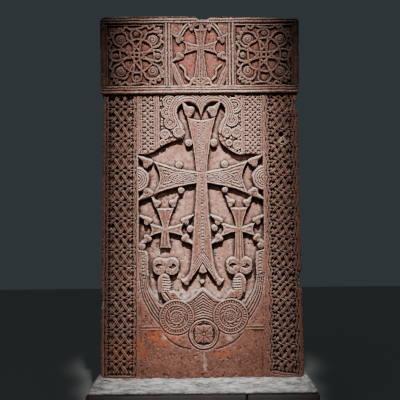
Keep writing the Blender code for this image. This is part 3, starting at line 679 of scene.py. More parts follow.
def wheel_ticks(x, z, inner, outer, count, depth, slant=0.0):
    """Radial cuts between two circles, leaning like the strands of a rope where `slant` isn't 0."""
    part = face.near([(x, z)], outer)
    dx, dz = face.x[part] - x, face.z[part] - z
    away = np.hypot(dx, dz)
    phase = (np.arctan2(dz, dx) / (2 * math.pi) * count + slant * (away - inner) / (outer - inner)) % 1
    inside = ramp(away, inner, inner + 1.5) * (1 - ramp(away, outer - 1.5, outer))
    face.height[part] -= depth * inside * np.clip(1 - np.abs(phase - 0.5) / 0.3, 0, 1)


def side_wheel(x, z, radius, hand):
    """A great wheel under a wing: a moulded rim, cut rays, a ring and a whirl round a boss."""
    groove(circle(x, z, radius + 4, 48), 4.5, 9.0, closed=True)
    block(circle(x, z, radius + 2, 40), -2.0)
    sink(circle(x, z, radius - 5, 40), -9.0, 2)
    bead(circle(x, z, radius - 3, 48), 4.2, 2.5, closed=True)
    bead(circle(x, z, radius - 16, 48), 7.5, -1.0, 3.0, closed=True)
    wheel_ticks(x, z, radius - 23, radius - 9, 36, 7.5)
    bead(circle(x, z, radius * 0.70, 44), 4.0, 0.5, closed=True)
    block(circle(x, z, radius * 0.60, 36), -2.0)
    wheel_ticks(x, z, radius * 0.2, radius * 0.58, 12, 11.0, 2.4 * hand)
    groove(circle(x, z, radius * 0.45, 36), 3.0, 6.0, closed=True)
    bead(circle(x, z, radius * 0.38, 36), 3.6, 0.5, closed=True)
    curl(x, z, radius * 0.17, 1.0, hand)


def low_wheel(x, z, radius):
    """The lowest wheel: a rim round four leaves in a cross, with a smaller leaf between each two."""
    groove(circle(x, z, radius + 5, 48), 5.5, 10.0, closed=True)
    block(circle(x, z, radius + 2, 40), -2.0)
    sink(circle(x, z, radius - 4, 40), -11.0, 2)
    bead(circle(x, z, radius - 3, 48), 4.5, 3.0, closed=True)
    bead(circle(x, z, radius - 13, 44), 3.0, -2.0, closed=True)
    for k in range(4):
        for turn, long, wide in ((45 + 90 * k, 0.76, 0.25), (90 * k, 0.60, 0.15)):
            e = np.array([math.cos(math.radians(turn)), math.sin(math.radians(turn))])
            n = np.array([-e[1], e[0]])
            spots = [(0.10, 0), (0.35, wide), (0.60, wide * 0.9), (long, 0), (0.60, -wide * 0.9),
                     (0.35, -wide)]
            leaf = [np.array([x, z]) + radius * (s * e + t * n) for s, t in spots]
            block(smooth(leaf, 4, closed=True), -3.5, 3.0, 8)
            groove([leaf[0], leaf[3]], 2.6, 5.0)
    boss(x, z, 8, 0.0)


def wings():
    """The ribbed wings, their finials, the chevrons between them, and the bowl's lower edge."""
    for side in (-1, 1):
        outer = np.array([(344, 572), (331, 470), (312, 410), (281, 350), (238, 292)], float)
        inner = np.array([(303, 560), (288, 488), (262, 436), (232, 388), (206, 342)], float)
        for share in np.linspace(0.02, 0.98, 5):
            groove(smooth((outer + (inner - outer) * share) * (side, 1), 5), 4.6, 12.0)
        narrow_plait(*sorted((side * 303, side * 341)), 505, 690, 2, 4.2, 11.0)
        boss(side * 327, 722, 17, 1.0, 6)
        finial(side)
        vane(side)
        corner(side)
    for k in range(8):
        z = 466 - 16 * k
        path = [(-122, 396 - 7 * k), (-98, 408 - 8 * k), (-58, 412 - 11 * k), (AXIS, z), (66, 412 - 11 * k),
                (108, 408 - 8 * k), (130, 396 - 7 * k)]
        groove(path, 5.6, 12.0)
    for radius in (104, 91):
        groove(arc(8, 240, radius + 6, 125, 55, 16), 3.5, 6.0)
        bead(arc(8, 240, radius, 125, 55, 16), 4.5, 1.5)
    bowl_left = smooth([(-206, 246), (-168, 206), (-122, 181), (-66, 163)], 6)
    for mirror in (1, -1):
        line = (bowl_left - (4, 0)) * (mirror, 1) + (4, 0)
        groove(line + (-3 * mirror, -9), 5.5, 6.5)
        bead(line, 5, 1.5)
        bead(smooth([(4 - mirror * 88, 172), (4 - mirror * 96, 200), (4 - mirror * 84, 226)], 5), 7, 0.5)
        bead(smooth([(4 - mirror * 118, 188), (4 - mirror * 134, 208), (4 - mirror * 150, 214)], 5), 6, 0.5)


def finial(side):
    """A ribbed bud that stands beside the shaft, with a line cut down its outer side."""
    body = smooth([(238, 468), (243, 510), (236, 548), (214, 571), (188, 562), (176, 528), (174, 490),
                   (186, 462)], 5)
    block(body * (side, 1), -3.0, 3.0, 10)
    for k in range(6):
        z = 476 + 14 * k
        groove([(side * 170, z - 1), (side * 213, z + 2)], 4.8, 12.0)
    groove(smooth([(side * 218, 470), (side * 222, 510), (side * 212, 556)], 5), 2.5, 2.5)


def vane(side):
    """The leaf that sweeps from the finial down to the wheel, split by a slit."""
    outline = smooth([(222, 470), (180, 478), (148, 440), (112, 408), (130, 396), (170, 410), (208, 430)],
                     4, closed=True)
    block(outline * (side, 1), -3.0, 2.0, 8)
    slit = [(202, 466), (174, 428), (150, 406)] if side < 0 else [(190, 436), (150, 404), (104, 378)]
    groove(smooth(np.array(slit, float) * (side, 1), 5), 6, 22)
    groove(smooth(np.array([(214, 452), (190, 426), (166, 412)], float) * (side, 1), 5), 2.8, 6)


def corner(side):
    """The corner between wing and border, with its double fillets and a small scroll."""
    for z, half in ((281, 5), (266, 5)):
        line = [(side * 340, z), (side * 234, z - 1.5)]
        groove(line, half + 4, 5)
        bead(line, half - 0.5, 1.5)
    upright = [(side * 340, 286), (side * 344, 400), (side * 344, 500)]
    groove(upright, 7, 4)
    bead(upright, 3.5, 1.0)
    scroll = smooth([(side * 328, 300), (side * 306, 322), (side * 284, 312), (side * 270, 298)], 5)
    groove(scroll, 8, 4)
    bead(scroll, 4, 1.5)
    bead(smooth([(side * 316, 298), (side * 302, 308), (side * 290, 300)], 5), 3, 0.5)


# The cornice
def cornice():
    level = CORNICE_FORWARD
    for x0, x1, z0, z1 in ((-505, -196, 1604, 1936), (196, 505, 1604, 1932), (-150, 146, 1588, 1962)):
        sink(box_outline(x0, x1, z0, z1), level - PANEL_DEPTH, 2.5)
    for z, half, rise in ((1570, 6, 3.0), (1586, 5.5, 1.0), (1598, 3.5, 1.0), (1951, 5.0, 5.0),
                          (1965, 5, 4.0)):
        groove([(-536, z + 8), (536, z + 8)], 4.0, 7.5)
        bead([(-536, z), (536, z)], half, level + rise)
    groove([(-536, 1942), (536, 1942)], 6.0, 17.0)
    for x in (-183, -166, 164, 182):
        groove([(x - 8.5, 1604), (x - 8.5, 1940)], 4.5, 6)
        groove([(x + 8.5, 1604), (x + 8.5, 1940)], 4.5, 6)
        bead([(x, 1602), (x, 1940)], 5.5, level + 4)
    for side in (-1, 1):
        panel_knot(side, level)
        groove([(side * 512, 1604), (side * 512, 1940)], 4, 5)
        bead([(side * 526, 1604), (side * 526, 1940)], 7, level + 3, 3)
    cornice_cross(level)
    ground = ramp(CORNICE_FORWARD - 4 - face.height, 0, 6)
    face.marks["blush"] = ground * ramp(face.z, CORNICE_Z + 20, CORNICE_Z + 30)
    face.height += CORNICE_LEAN * np.clip((face.up - CORNICE_Z) / (STONE_TALL - CORNICE_Z), 0, 1)


def wobbled(path, seed):
    """A strand's line as a hand would cut it."""
    x, z = path.T
    return path + np.column_stack([9.0 * drift(x, z, 55, seed), 9.0 * drift(x, z, 55, seed + 1)])


def panel_knot(side, level):
    """A square of knotwork: strands looped at its corners and sides round curls, in a wavy frame."""
    x, z = (-345, 1770) if side < 0 else (353, 1767)
    strands = []
    for reach, waist, end, turn in ((166, 26, 44, 45), (166, 26, 44, 135), (141, 11, 31, 0),
                                    (148, 11, 31, 90)):
        strands.append(dumbbell(x, z, reach, waist, end, turn)[0])
    angles = np.linspace(0, 2 * math.pi, 200, endpoint=False)
    wave = 1 - 0.05 * (1 + np.cos(24 * angles + side))
    px = 153 * wave * np.sign(np.cos(angles)) * np.abs(np.cos(angles)) ** 0.5
    pz = 164 * wave * np.sign(np.sin(angles)) * np.abs(np.sin(angles)) ** 0.5
    strands.append(np.column_stack([x + px, z + pz]))
    strands.append(circle(x, z, 92, 60))
    cut = [(wobbled(strand, 130 + 10 * side + 2 * k), True) for k, strand in enumerate(strands)]
    knot(cut, 4.2, level, 4.5)
    for dx, dz, radius in ((-88, 86, 27), (88, 86, 27), (-88, -86, 27), (88, -86, 27),
                           (0, 122, 14), (0, -122, 14), (116, 0, 14), (-116, 0, 14)):
        curl(x + dx, z + dz, radius, level - 2, side if dx * dz < 0 else -side)


def cornice_cross(level):
    """The small cross in the cornice's sunk middle, on a knot between two wings."""
    centre = (AXIS, 1812)
    for side in (-1, 1):
        stem = [(AXIS + side * x, z, w) for x, z, w in ((152, 1722, 6), (128, 1655, 17), (98, 1592, 13))]
        tapered(smooth(stem, 6), level - 1, 4)
        for line in (((146, 1712), (124, 1655), (98, 1590)), ((134, 1712), (113, 1655), (92, 1600))):
            groove(smooth([(AXIS + side * x, z) for x, z in line], 6), 2.8, 5.0)
        for line, half in ((((112, 1716), (88, 1690), (82, 1655), (62, 1636)), 5),
                           (((86, 1600), (60, 1606), (40, 1640), (8, 1618)), 6),
                           (((116, 1880), (98, 1915), (78, 1938), (58, 1962)), 5),
                           (((104, 1874), (86, 1906), (66, 1928)), 3.5)):
            bead(smooth([(AXIS + side * x, z) for x, z in line], 6), half, level + 1)
        boss(AXIS + side * 92, 1652, 9, level - PANEL_DEPTH + 2)
        corner_block = [(92, 1962), (170, 1962), (170, 1880), (122, 1886), (106, 1915)]
        block([(AXIS + side * x, z) for x, z in corner_block], level - 3, 1, 6)
        knot([trefoil_knot(AXIS + side * 136, 1916, 25, 3, 0.5, 5)], 4.0, level + 1)
    arm(centre, 270, 172, 16, 38, level, 0.02, 6, "grooves")
    arm(centre, 90, 104, 16, 36, level, 0.08, 7)
    arm(centre, 180, 92, 10, 35, level, 0.14, 5)
    arm(centre, 0, 92, 10, 35, level, 0.14, 5)
    for angle, reach, spread, size in ((90, 98, 48, 21), (180, 100, 47, 27), (0, 100, 45, 27)):
        bud_pair(centre, angle, reach, spread, size, level + 1)
    knot([trefoil_knot(AXIS, 1624, 46, 4, 0.0, 8), (circle(AXIS, 1624, 24), True)], 4.4, level)
    block(box_outline(-46, 58, 1934, 1970), level - 2, 1, 8)
    knot([trefoil_knot(AXIS, 1942, 36, 4, 0.2, 6)], 4.2, level + 3)


# Wear and damage
def scoop(x, z, wide, tall, depth, tilt=0.0):
    """A spall: a shallow broken hollow, rough inside and pale."""
    part = face.near([(x, z)], max(wide, tall) * 1.3)
    px, pz = face.x[part], face.z[part]
    dx, dz = px - x, pz - z
    c, s = math.cos(tilt), math.sin(tilt)
    r = np.hypot((c * dx + s * dz) / wide, (c * dz - s * dx) / tall)
    r = r * (1 + 0.18 * drift(px, pz, 14, 41)) + 0.08 * drift(px, pz, 6, 42)
    hollow = np.clip(1 - r * r, 0, 1)
    face.height[part] -= depth * np.sqrt(hollow) * (1 + 0.25 * drift(px, pz, 9, 43))
    face.marks["fresh"][part] = np.maximum(face.marks["fresh"][part], ramp(hollow, 0.05, 0.4))


def damage():
    scoop(-545, 1518, 22, 24, 12)
    scoop(-545, 1355, 18, 20, 10)
    scoop(-552, 410, 14, 26, 6)
    scoop(540, 1497, 24, 34, 14)
    scoop(556, 535, 26, 66, 15)
    sink(circle(444, 1333, 16), -36, 3)
    scoop(452, 1296, 26, 30, 4)
    scoop(-350, 1584, 9, 16, 6)
    scoop(18, 1968, 42, 14, 9)
    scoop(-225, 690, 22, 26, 5, 0.4)
    scoop(-238, 662, 9, 10, 7)
    scoop(-200, 716, 24, 9, 6)
    scoop(-440, 1985, 60, 16, 5)
    scoop(490, 1975, 50, 14, 6)


def weather():
    """What centuries did to it: rounded edges, pores, a rough-dressed lower field and a crumbled arris."""
    x, z = face.across, face.up
    carved = face.height.copy()
    soft = blurred(carved, 1)
    worn = 0.6 * ramp(drift(x, z, 75, 50) + 0.5 * drift(x, z, 24, 49), 0.05, 0.9)
    face.height += (soft - carved) * worn * (np.abs(soft - carved) < 7)
    face.height += 0.9 * drift(x, z, 120, 51) + 0.5 * drift(x, z, 37, 52)
    deep = ramp(-carved, 24, 34)
    face.height += deep * (1.5 * drift(x, z, 26, 53) + 1.0 * drift(x * 0.7, z, 11, 54))
    dressed = (1 - ramp(z, 235, 262)) * (1 - ramp(np.abs(x + 5), 335, 345))
    tilt = 0.4 * x + z
    strokes = drift(x * 0.8, tilt * 1.3, 19, 55) * (0.5 + 0.5 * drift(x, z, 90, 62))
    face.height += dressed * (1.8 * strokes + 0.9 * drift(x, z, 9, 56) + 1.4 * drift(x, z, 44, 63) - 2.0)
    pores = np.clip(drift(x, z, 6, 57) * 0.7 + drift(x, z, 13, 58) * 0.6 - 0.52, 0, 1)
    face.height -= 9.0 * pores
    edge = np.minimum(np.minimum(x - x[:, :1], x[:, -1:] - x), z[-1:] - z)
    face.height -= 2.5 * (1 - ramp(edge, 0, 5)) * (0.6 + 0.4 * drift(x, z, 13, 59))
    crumb = np.clip(drift(x, z, 18, 60) + 0.5 * drift(x, z, 7, 61) - 0.5, 0, 1)
    face.height -= 9.0 * crumb * (1 - ramp(edge, 2, 14))


def carve():
    broad_border(-1)
    broad_border(1)
    spandrels()
    niche()
    great_cross()
    small_cross(-1)
    small_cross(1)
    half_wheels()
    wings()
    side_wheel(-140, 332, 95, 1)
    side_wheel(157, 335, 95, -1)
    low_wheel(8, 236, 80)
    cornice()
    weather()
    damage()


def blurred(values, reach):
    """An even blur over a square, twice, so that it is almost round."""
    for _ in range(2):
        for axis in (0, 1):
            size = 2 * reach + 1
            padded = np.pad(values, [(reach + 1, reach) if k == axis else (0, 0) for k in (0, 1)],
                            mode="edge")
            total = np.cumsum(padded, axis)
            ahead = np.take(total, np.arange(size, total.shape[axis]), axis)
            values = (ahead - np.take(total, np.arange(total.shape[axis] - size), axis)) / size
    return values


def paint():
    """Where the surface is worn, dusty or stained, where the cornice darkens, and where shade is painted
    into its cuts, from 0 to 1, for the stone's material to read.
    """
    x, z, h = face.across, face.up, face.height
    marks = face.marks
    fine, broad = h - blurred(h, 3), h - blurred(h, 12)
    slope_up = np.gradient(blurred(h, 1), axis=0)
    # Dust and bare stone are painted strongest around the crosses, where visitors' hands reach; this also
    # paints in a pool of the lamps' light, brighter there than on the borders
    middle = (1 - ramp(np.abs(x), 320, 400)) * ramp(z, 380, 520)
    middle *= 1 - ramp(z, 1560, 1600) * ramp(np.abs(x), 150, 330)
    marks["worn"] = np.clip(fine / 1.6, 0, 1) * (0.35 + 0.65 * middle)
    # Painted shade: darker in fine creases and in broad hollows, where shade falls
    marks["shade_and_scars"] = np.clip(np.clip(-fine / 1.7, 0, 1) * 0.85 + np.clip(-broad / 7.0, 0, 1) * 0.85, 0, 1)
    crumbs = ramp(drift(x, z, 16, 74) + 0.8 * drift(x, z, 6, 77), -0.5, 0.6)
    ledge = ramp(z, 380, 430) * (1 - ramp(z, 450, 520)) * ramp(-h, 22, 30) * crumbs
    shelf = ramp(-slope_up, 0.3, 1.5) * (0.7 + 0.3 * drift(x, z, 25, 71)) * (0.35 + 0.65 * middle)
    marks["dust"] = np.maximum(shelf, 0.65 * ledge)
    flecks = ramp(drift(x, z, 9, 78) + 0.7 * drift(x, z, 4.5, 79), 0.45, 0.95)
    clouds = 0.72 + 0.35 * drift(x, z, 60, 75) + 0.3 * drift(x, z, 22, 80)
    marks["pale"] = np.clip(ramp(-h, 20, 33) * clouds, 0, 1)
    marks["fresh"] = np.maximum(marks["fresh"], 0.75 * flecks * ramp(-h, 20, 33))
    scars = ramp(drift(x, z, 11, 81) + 0.6 * drift(x * 1.3, z, 5, 82), 0.7, 1.0)
    # Dark scars on the deep niche ground, added to the painted shade's mark
    marks["shade_and_scars"] = np.maximum(marks["shade_and_scars"], 0.6 * scars * ramp(-h, 20, 33))
    ends = ramp(np.abs(x + 20), 330, 545)
    top = ramp(z, 1900, 1975)
    # Darker towards the cornice's ends and its top, in loose clouds
    cornice_darkening = (0.85 * ends + 0.6 * top) * ramp(z, 1540, 1640) + 0.2 * drift(x, z, 60, 72)
    marks["cornice_darkening"] = np.clip(cornice_darkening, 0, 1)
    marks["cornice_darkening"] *= ramp(z, 1545, 1600)
    marks["blush"] *= 1 - ends
    for cx, cz, wide, tall in ((-440, 140, 120, 90), (-345, 170, 60, 60), (-215, 235, 110, 85),
                               (120, 130, 60, 30)):
        spot = np.hypot((x - cx) / wide, (z - cz) / tall) + 0.35 * drift(x, z, 40, 73)
        marks["ochre"] = np.maximum(marks["ochre"], 1 - ramp(spot, 0.45, 1.05))
    for cx, cz, wide, tall in ((8, 118, 9, 48), (150, 212, 22, 20), (-58, 225, 12, 24), (-212, 218, 16, 30),
                               (14, 60, 10, 40)):
        spot = np.hypot((x - cx) / wide, (z - cz) / tall) + 0.5 * drift(x, z, 14, 76)
        marks["fresh"] = np.maximum(marks["fresh"], 0.6 * (1 - ramp(spot, 0.4, 1.0)))


# From the field of heights to meshes
def split_errors(height):
    """For each point that may split a triangle, how far the surface would stray if it didn't."""
    error = np.zeros(height.shape)
    for axis, line, low, high, apart in JOINTS:
        steps = np.arange(-(-low // apart) * apart, high + 1, apart)
        error[(line, steps) if axis else (steps, line)] = np.inf
    error[::8, [0, -1]] = np.inf
    error[[0, -1], ::8] = np.inf
    step = 1
    while step < ACROSS:
        grid, held = height[::step, ::step], error[::step, ::step]
        worst = held.copy()
        if step > 1:
            finer = np.pad(error[:: step // 2, :: step // 2], 1)
            rows, columns = held.shape
            for dr in (0, 2):
                for dc in (0, 2):
                    worst = np.maximum(worst, finer[dr : dr + 2 * rows : 2, dc : dc + 2 * columns : 2])
        level_own = np.abs(grid[::2, 1::2] - (grid[::2, :-1:2] + grid[::2, 2::2]) / 2)
        upright_own = np.abs(grid[1::2, ::2] - (grid[:-1:2, ::2] + grid[2::2, ::2]) / 2)
        held[::2, 1::2] = np.maximum(worst[::2, 1::2], level_own)
        held[1::2, ::2] = np.maximum(worst[1::2, ::2], upright_own)
        middle = grid[1::2, 1::2]
        rising = np.abs(middle - (grid[:-1:2, :-1:2] + grid[2::2, 2::2]) / 2)
        falling = np.abs(middle - (grid[2::2, :-1:2] + grid[:-1:2, 2::2]) / 2)
        even = (np.arange(middle.shape[0])[:, None] + np.arange(middle.shape[1])) % 2 == 0
        around = np.maximum(held[:-1:2, 1::2], held[2::2, 1::2])
        around = np.maximum(around, np.maximum(held[1::2, :-1:2], held[1::2, 2::2]))
        own = np.maximum(np.where(even, rising, falling), around)
        held[1::2, 1::2] = np.maximum(held[1::2, 1::2], own)
        step *= 2
    return error


def face_triangles(error):
    """Splits the face into right-angled triangles until none strays. Their corners are (column, row)."""
    w = ACROSS
    roots = [((0, 0), (w, w), (0, w)), ((w, w), (0, 0), (w, 0))]
    roots += [((w, w), (0, 2 * w), (0, w)), ((0, 2 * w), (w, w), (w, 2 * w))]
    a, b, c = np.array(roots).transpose(1, 0, 2)
    done = []
    while len(a):
        middle = (a + b) // 2
        coarse = np.abs(a - b).max(1) > 1
        split = coarse & (error[middle[:, 1], middle[:, 0]] > FINENESS)
        done.append(np.stack([a[~split], b[~split], c[~split]], 1))
        a, b, c, middle = a[split], b[split], c[split], middle[split]
        a, b, c = np.vstack([c, b]), np.vstack([a, c]), np.vstack([middle, middle])
    return np.vstack(done)


def ordered_rim(edges):
    following = dict(edges)
    start = next(iter(following))
    rim = [start]
    while following[rim[-1]] != start:
        rim.append(following[rim[-1]])
    return np.array(rim)


DEPTH_ROWS = 14
PIECES = ("cornice", "left_border", "right_border", "upper_field", "middle_field", "lower_field")
# The joints between the pieces: along a column (0) or a row (1) of the grid, on which line, from where
# to where, and how far apart their points lie at most
JOINTS = [(1, CORNICE_ROW, low, high, 4)
          for low, high in ((0, SEAM_COLUMNS[0]), SEAM_COLUMNS, (SEAM_COLUMNS[1], ACROSS))]
JOINTS += [(1, row, *SEAM_COLUMNS, 16) for row in SEAM_ROWS]
JOINTS += [(0, column, low, high, 8) for column in SEAM_COLUMNS
           for low, high in ((0, SEAM_ROWS[0]), SEAM_ROWS, (SEAM_ROWS[1], CORNICE_ROW))]


def piece_of(column, row):
    """The number of the piece that a spot on the face's grid belongs to."""
    inner = np.where(row > SEAM_ROWS[1], 3, np.where(row > SEAM_ROWS[0], 4, 5))
    low = np.where(column < SEAM_COLUMNS[0], 1, np.where(column > SEAM_COLUMNS[1], 2, inner))
    return np.where(row > CORNICE_ROW, 0, low)


def split_side(points, depth):
    """How far the slab's sides and top, only split and dressed, fall back from the outline."""
    x, y, z = points
    run = np.where(np.abs(x) > 520, z, x)
    rough = 3.0 * drift(run, y, 85, 81) + 1.8 * drift(run, y, 33, 82) + 0.9 * drift(run, y, 12, 83)
    return ramp(depth, 0, 0.12) * (3.5 - rough * 0.8) + 3.0 * depth


def front_surface():
    """The carved face as triangles, with the place of each of their points on the grid."""
    triangles = face_triangles(split_errors(face.height))
    names = triangles[..., 1] * (ACROSS + 1) + triangles[..., 0]
    used, front = np.unique(names, return_inverse=True)
    row, column = used // (ACROSS + 1), used % (ACROSS + 1)
    across, out, up = face.across[row, column], face.height[row, column], face.up[row, column]
    points = np.column_stack([across * WIDE, FACE_Y - out / 1000, FOOT_Z + up * TALL])
    marks = {name: values[row, column] for name, values in face.marks.items()}
    return points, np.column_stack([column, row]).astype(float), front.reshape(-1, 3), marks


def face_normals(cells):
    """How the face is turned at each point, read from the heights around it and not from its triangles."""
    soft = 0.5 * face.height + 0.5 * blurred(face.height, 1)
    column, row = cells.astype(int).T
    left, right = np.clip(column - 1, 0, ACROSS), np.clip(column + 1, 0, ACROSS)
    below, above = np.clip(row - 1, 0, UP), np.clip(row + 1, 0, UP)
    slope_across = (soft[row, right] - soft[row, left]) / (face.across[row, right] - face.across[row, left])
    rise = soft[above, column] - soft[below, column]
    slope_up = rise / (face.up[above, column] - face.up[below, column])
    turned = np.column_stack([-slope_across, -np.ones(len(cells)), -slope_up])
    return turned / np.linalg.norm(turned, axis=1)[:, None]


def edge_walls(points, cells, front):
    """The slab's sides, top and foot: rows of points from the face's rim back to the rear edge."""
    edges = np.vstack([front[:, [0, 1]], front[:, [1, 2]], front[:, [2, 0]]])
    codes, mirrored = edges[:, 0] * len(points) + edges[:, 1], edges[:, 1] * len(points) + edges[:, 0]
    rim = ordered_rim(edges[~np.isin(codes, mirrored)].tolist())
    side = (cells[rim, 0] == 0) * 1.0 - (cells[rim, 0] == ACROSS)
    top = (cells[rim, 1] == UP) * 1.0
    across, up = points[rim, 0] / WIDE, (points[rim, 2] - FOOT_Z) / TALL
    rows, walls = [rim], []
    for k in range(1, DEPTH_ROWS + 1):
        depth = k / DEPTH_ROWS
        y = points[rim, 1] + (BACK_Y - points[rim, 1]) * depth
        back = split_side((across, y * 1000, up), depth) / 1000
        x = points[rim, 0] + side * back * ramp(up, 0, 60)
        rows.append(np.arange(len(points), len(points) + len(rim)))
        points = np.vstack([points, np.column_stack([x, y, points[rim, 2] - top * back])])
        cells = np.vstack([cells, cells[rim]])
        near, far = rows[-2:]
        near_next, far_next = np.roll(near, -1), np.roll(far, -1)
        walls += [np.column_stack([near_next, near, far]), np.column_stack([near_next, far, far_next])]
    return points, cells, np.vstack(walls), rows[-1]


def back_surface(points, cells, rear):
    """The slab's back, split and never dressed: a loose net of triangles that keeps the joints' lines."""
    plan = [tuple(spot) for spot in cells[rear]]
    ties = [(i, (i + 1) % len(plan)) for i in range(len(plan))]
    for axis, line, low, high, _ in JOINTS:
        steps = np.linspace(low, high, max(2, (high - low) // 18 + 1)).round()
        first = len(plan)
        plan.extend((s, float(line)) if axis else (float(line), s) for s in steps)
        ties.extend((first + i, first + i + 1) for i in range(len(steps) - 1))
    for column in range(16, ACROSS - 8, 24):
        for row in range(24, UP - 8, 24):
            clear = [abs((column, row)[axis] - line) for axis, line, *_ in JOINTS]
            if min(clear) > 6:
                plan.append((float(column), float(row)))
    spots, _, faces, origins, *_ = delaunay_2d_cdt(plan, ties, [], 1, 1e-4)
    spots = np.array([(spot[0], spot[1]) for spot in spots])
    on_rim = [min(sources) if sources and min(sources) < len(rear) else -1 for sources in origins]
    place = np.array([rear[k] if k >= 0 else -1 for k in on_rim])
    fresh = np.nonzero(place < 0)[0]
    column, row = spots[fresh].round().astype(int).T
    x, z = face.across[row, column], face.up[row, column]
    hollow = 7 + 3.5 * drift(x, z, 210, 91) + 2.5 * drift(x, z, 80, 92) + 1.5 * drift(x, z, 34, 93)
    y = BACK_Y - np.clip(hollow, 0.5, 13) / 1000
    place[fresh] = np.arange(len(points), len(points) + len(fresh))
    points = np.vstack([points, np.column_stack([x * WIDE, y, FOOT_Z + z * TALL])])
    cells = np.vstack([cells, spots[fresh]])
    return points, cells, place[np.array([corners[::-1] for corners in faces])]


def corner_normals(points, faces):
    """Smooth normals over one group of faces, one for each corner."""
    a, b, c = points[faces[:, 0]], points[faces[:, 1]], points[faces[:, 2]]
    flat = np.cross(b - a, c - a)
    total = np.zeros(points.shape)
    for k in range(3):
        for axis in range(3):
            total[:, axis] += np.bincount(faces[:, k], flat[:, axis], len(points))
    total /= np.maximum(np.linalg.norm(total, axis=1), 1e-12)[:, None]
    return total[faces]


def joint_faces(points, cells, front, backs, joint):
    """Closes the joint between two pieces with a wall from the face to the back."""
    axis, line, low, high = joint
    chains = []
    for faces in (front, backs):
        names = np.unique(faces)
        run = cells[names, 1 - axis]
        on = names[(cells[names, axis] == line) & (run >= low) & (run <= high)]
        chains.append(on[np.argsort(cells[on, 1 - axis])])
    near, far = chains
    made, i, j = [], 0, 0
    while i < len(near) - 1 or j < len(far) - 1:
        next_near = cells[near[i + 1], 1 - axis] if i < len(near) - 1 else 1e9
        next_far = cells[far[j + 1], 1 - axis] if j < len(far) - 1 else 1e9
        if next_near <= next_far:
            made.append((near[i], near[i + 1], far[j]))
            i += 1
        else:
            made.append((near[i], far[j + 1], far[j]))
            j += 1
    for end in (0, -1):
        column, row = cells[near[end]]
        if column in (0, ACROSS) or row in (0, UP):
            chain = np.nonzero((cells[:, 0] == column) & (cells[:, 1] == row))[0]
            chain = chain[np.argsort(points[chain, 1])]
            fan = [(near[end], chain[k], chain[k + 1]) for k in range(1, len(chain) - 1)]
            made += fan if end == 0 else [f[::-1] for f in fan]
    return np.array(made)


def flat_normals(points, faces):
    flat = np.cross(points[faces[:, 1]] - points[faces[:, 0]], points[faces[:, 2]] - points[faces[:, 0]])
    flat /= np.maximum(np.linalg.norm(flat, axis=1), 1e-12)[:, None]
    return np.repeat(flat[:, None], 3, 1)


def add_piece(name, points, faces, normals, finish, marks):
    """A mesh with its own corner normals and the surface marks that its material reads."""
    used, index = np.unique(faces, return_inverse=True)
    mesh = bpy.data.meshes.new(name)
    mesh.from_pydata(points[used].tolist(), [], index.reshape(-1, 3).tolist())
    mesh.materials.append(finish)
    mesh.shade_smooth()
    mesh.normals_split_custom_set(normals.reshape(-1, 3).tolist())
    for mark, values in marks.items():
        layer = mesh.attributes.new(mark, "FLOAT", "POINT")
        layer.data.foreach_set("value", values[used].astype(np.float32))
    piece = bpy.data.objects.new(name, mesh)
    bpy.context.scene.collection.objects.link(piece)
    print(name, len(faces), "triangles")
    return piece


def dress_slab(finish):
    """The whole stone as one surface, parted into pieces along joints that are closed by walls."""
    points, cells, front, marks = front_surface()
    turned = face_normals(cells)[front]
    points, cells, walls, rear = edge_walls(points, cells, front)
    points, cells, backs = back_surface(points, cells, rear)
    parts = [[] for _ in PIECES]
    groups = ((front, turned), (walls, corner_normals(points, walls)),
              (backs, corner_normals(points, backs)))
    for faces, normals in groups:
        owner = piece_of(*cells[faces].mean(1).T)
        for number, part in enumerate(parts):
            part.append((faces[owner == number], normals[owner == number]))
    for axis, line, low, high, _ in JOINTS:
        made = joint_faces(points, cells, front, backs, (axis, line, low, high))
        # The wall has points of its own: where it shares the face's, the joint shows as a dark line
        corners, made = np.unique(made, return_inverse=True)
        made = made.reshape(-1, 3) + len(points)
        points, cells = np.vstack([points, points[corners]]), np.vstack([cells, cells[corners]])
        for shift in (-1, 1):
            spot = ((low + high) / 2, line + shift) if axis else (line + shift, (low + high) / 2)
            faces = made[:, ::-1] if (shift > 0) == (axis == 0) else made
            parts[int(piece_of(*spot))].append((faces, flat_normals(points, faces)))
    marks = {name: np.append(values, np.zeros(len(points) - len(values))) for name, values in marks.items()}
    for name, part in zip(PIECES, parts):
        faces, normals = (np.vstack(group) for group in zip(*part))
        piece = add_piece(name, points, faces, normals, finish, marks)
        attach(piece, "root")
        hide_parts("stele")


# Materials
def linear(colour):
    """An sRGB hex colour as linear values."""
    values = [int(colour[i : i + 2], 16) / 255 for i in (1, 3, 5)]
    return [v / 12.92 if v <= 0.04045 else ((v + 0.055) / 1.055) ** 2.4 for v in values] + [1.0]


def add(tree, kind, inputs=(), **settings):
    """Adds a node, sets its values and links its inputs: a link is given as the output to link from."""
    node = tree.nodes.new(kind)
    for name, value in settings.items():
        setattr(node, name, value)
    for name, value in dict(inputs).items():
        socket = node.inputs[name]
        if isinstance(value, bpy.types.NodeSocket):
            tree.links.new(value, socket)
        else:
            socket.default_value = value
    return node


def new_material(name):
    made = bpy.data.materials.new(name)
    made.use_nodes = True
    return made, made.node_tree, made.node_tree.nodes["Principled BSDF"]


def rounded_ring(half_x, half_y, radius):
    """Points round a rectangle with round corners, close enough together to be rough."""
    bends = []
    for sx, sy, start in ((1, -1, -90), (1, 1, 0), (-1, 1, 90), (-1, -1, 180)):
        bends.append(arc(sx * (half_x - radius), sy * (half_y - radius), radius, start, start + 90, 8))
    ring = []
    for bend, following, count in zip(bends, bends[1:] + bends[:1], (70, 230, 70, 230)):
        ring.append(bend)
        ring.append(np.linspace(bend[-1], following[0], count)[1:-1])
    return np.vstack(ring)


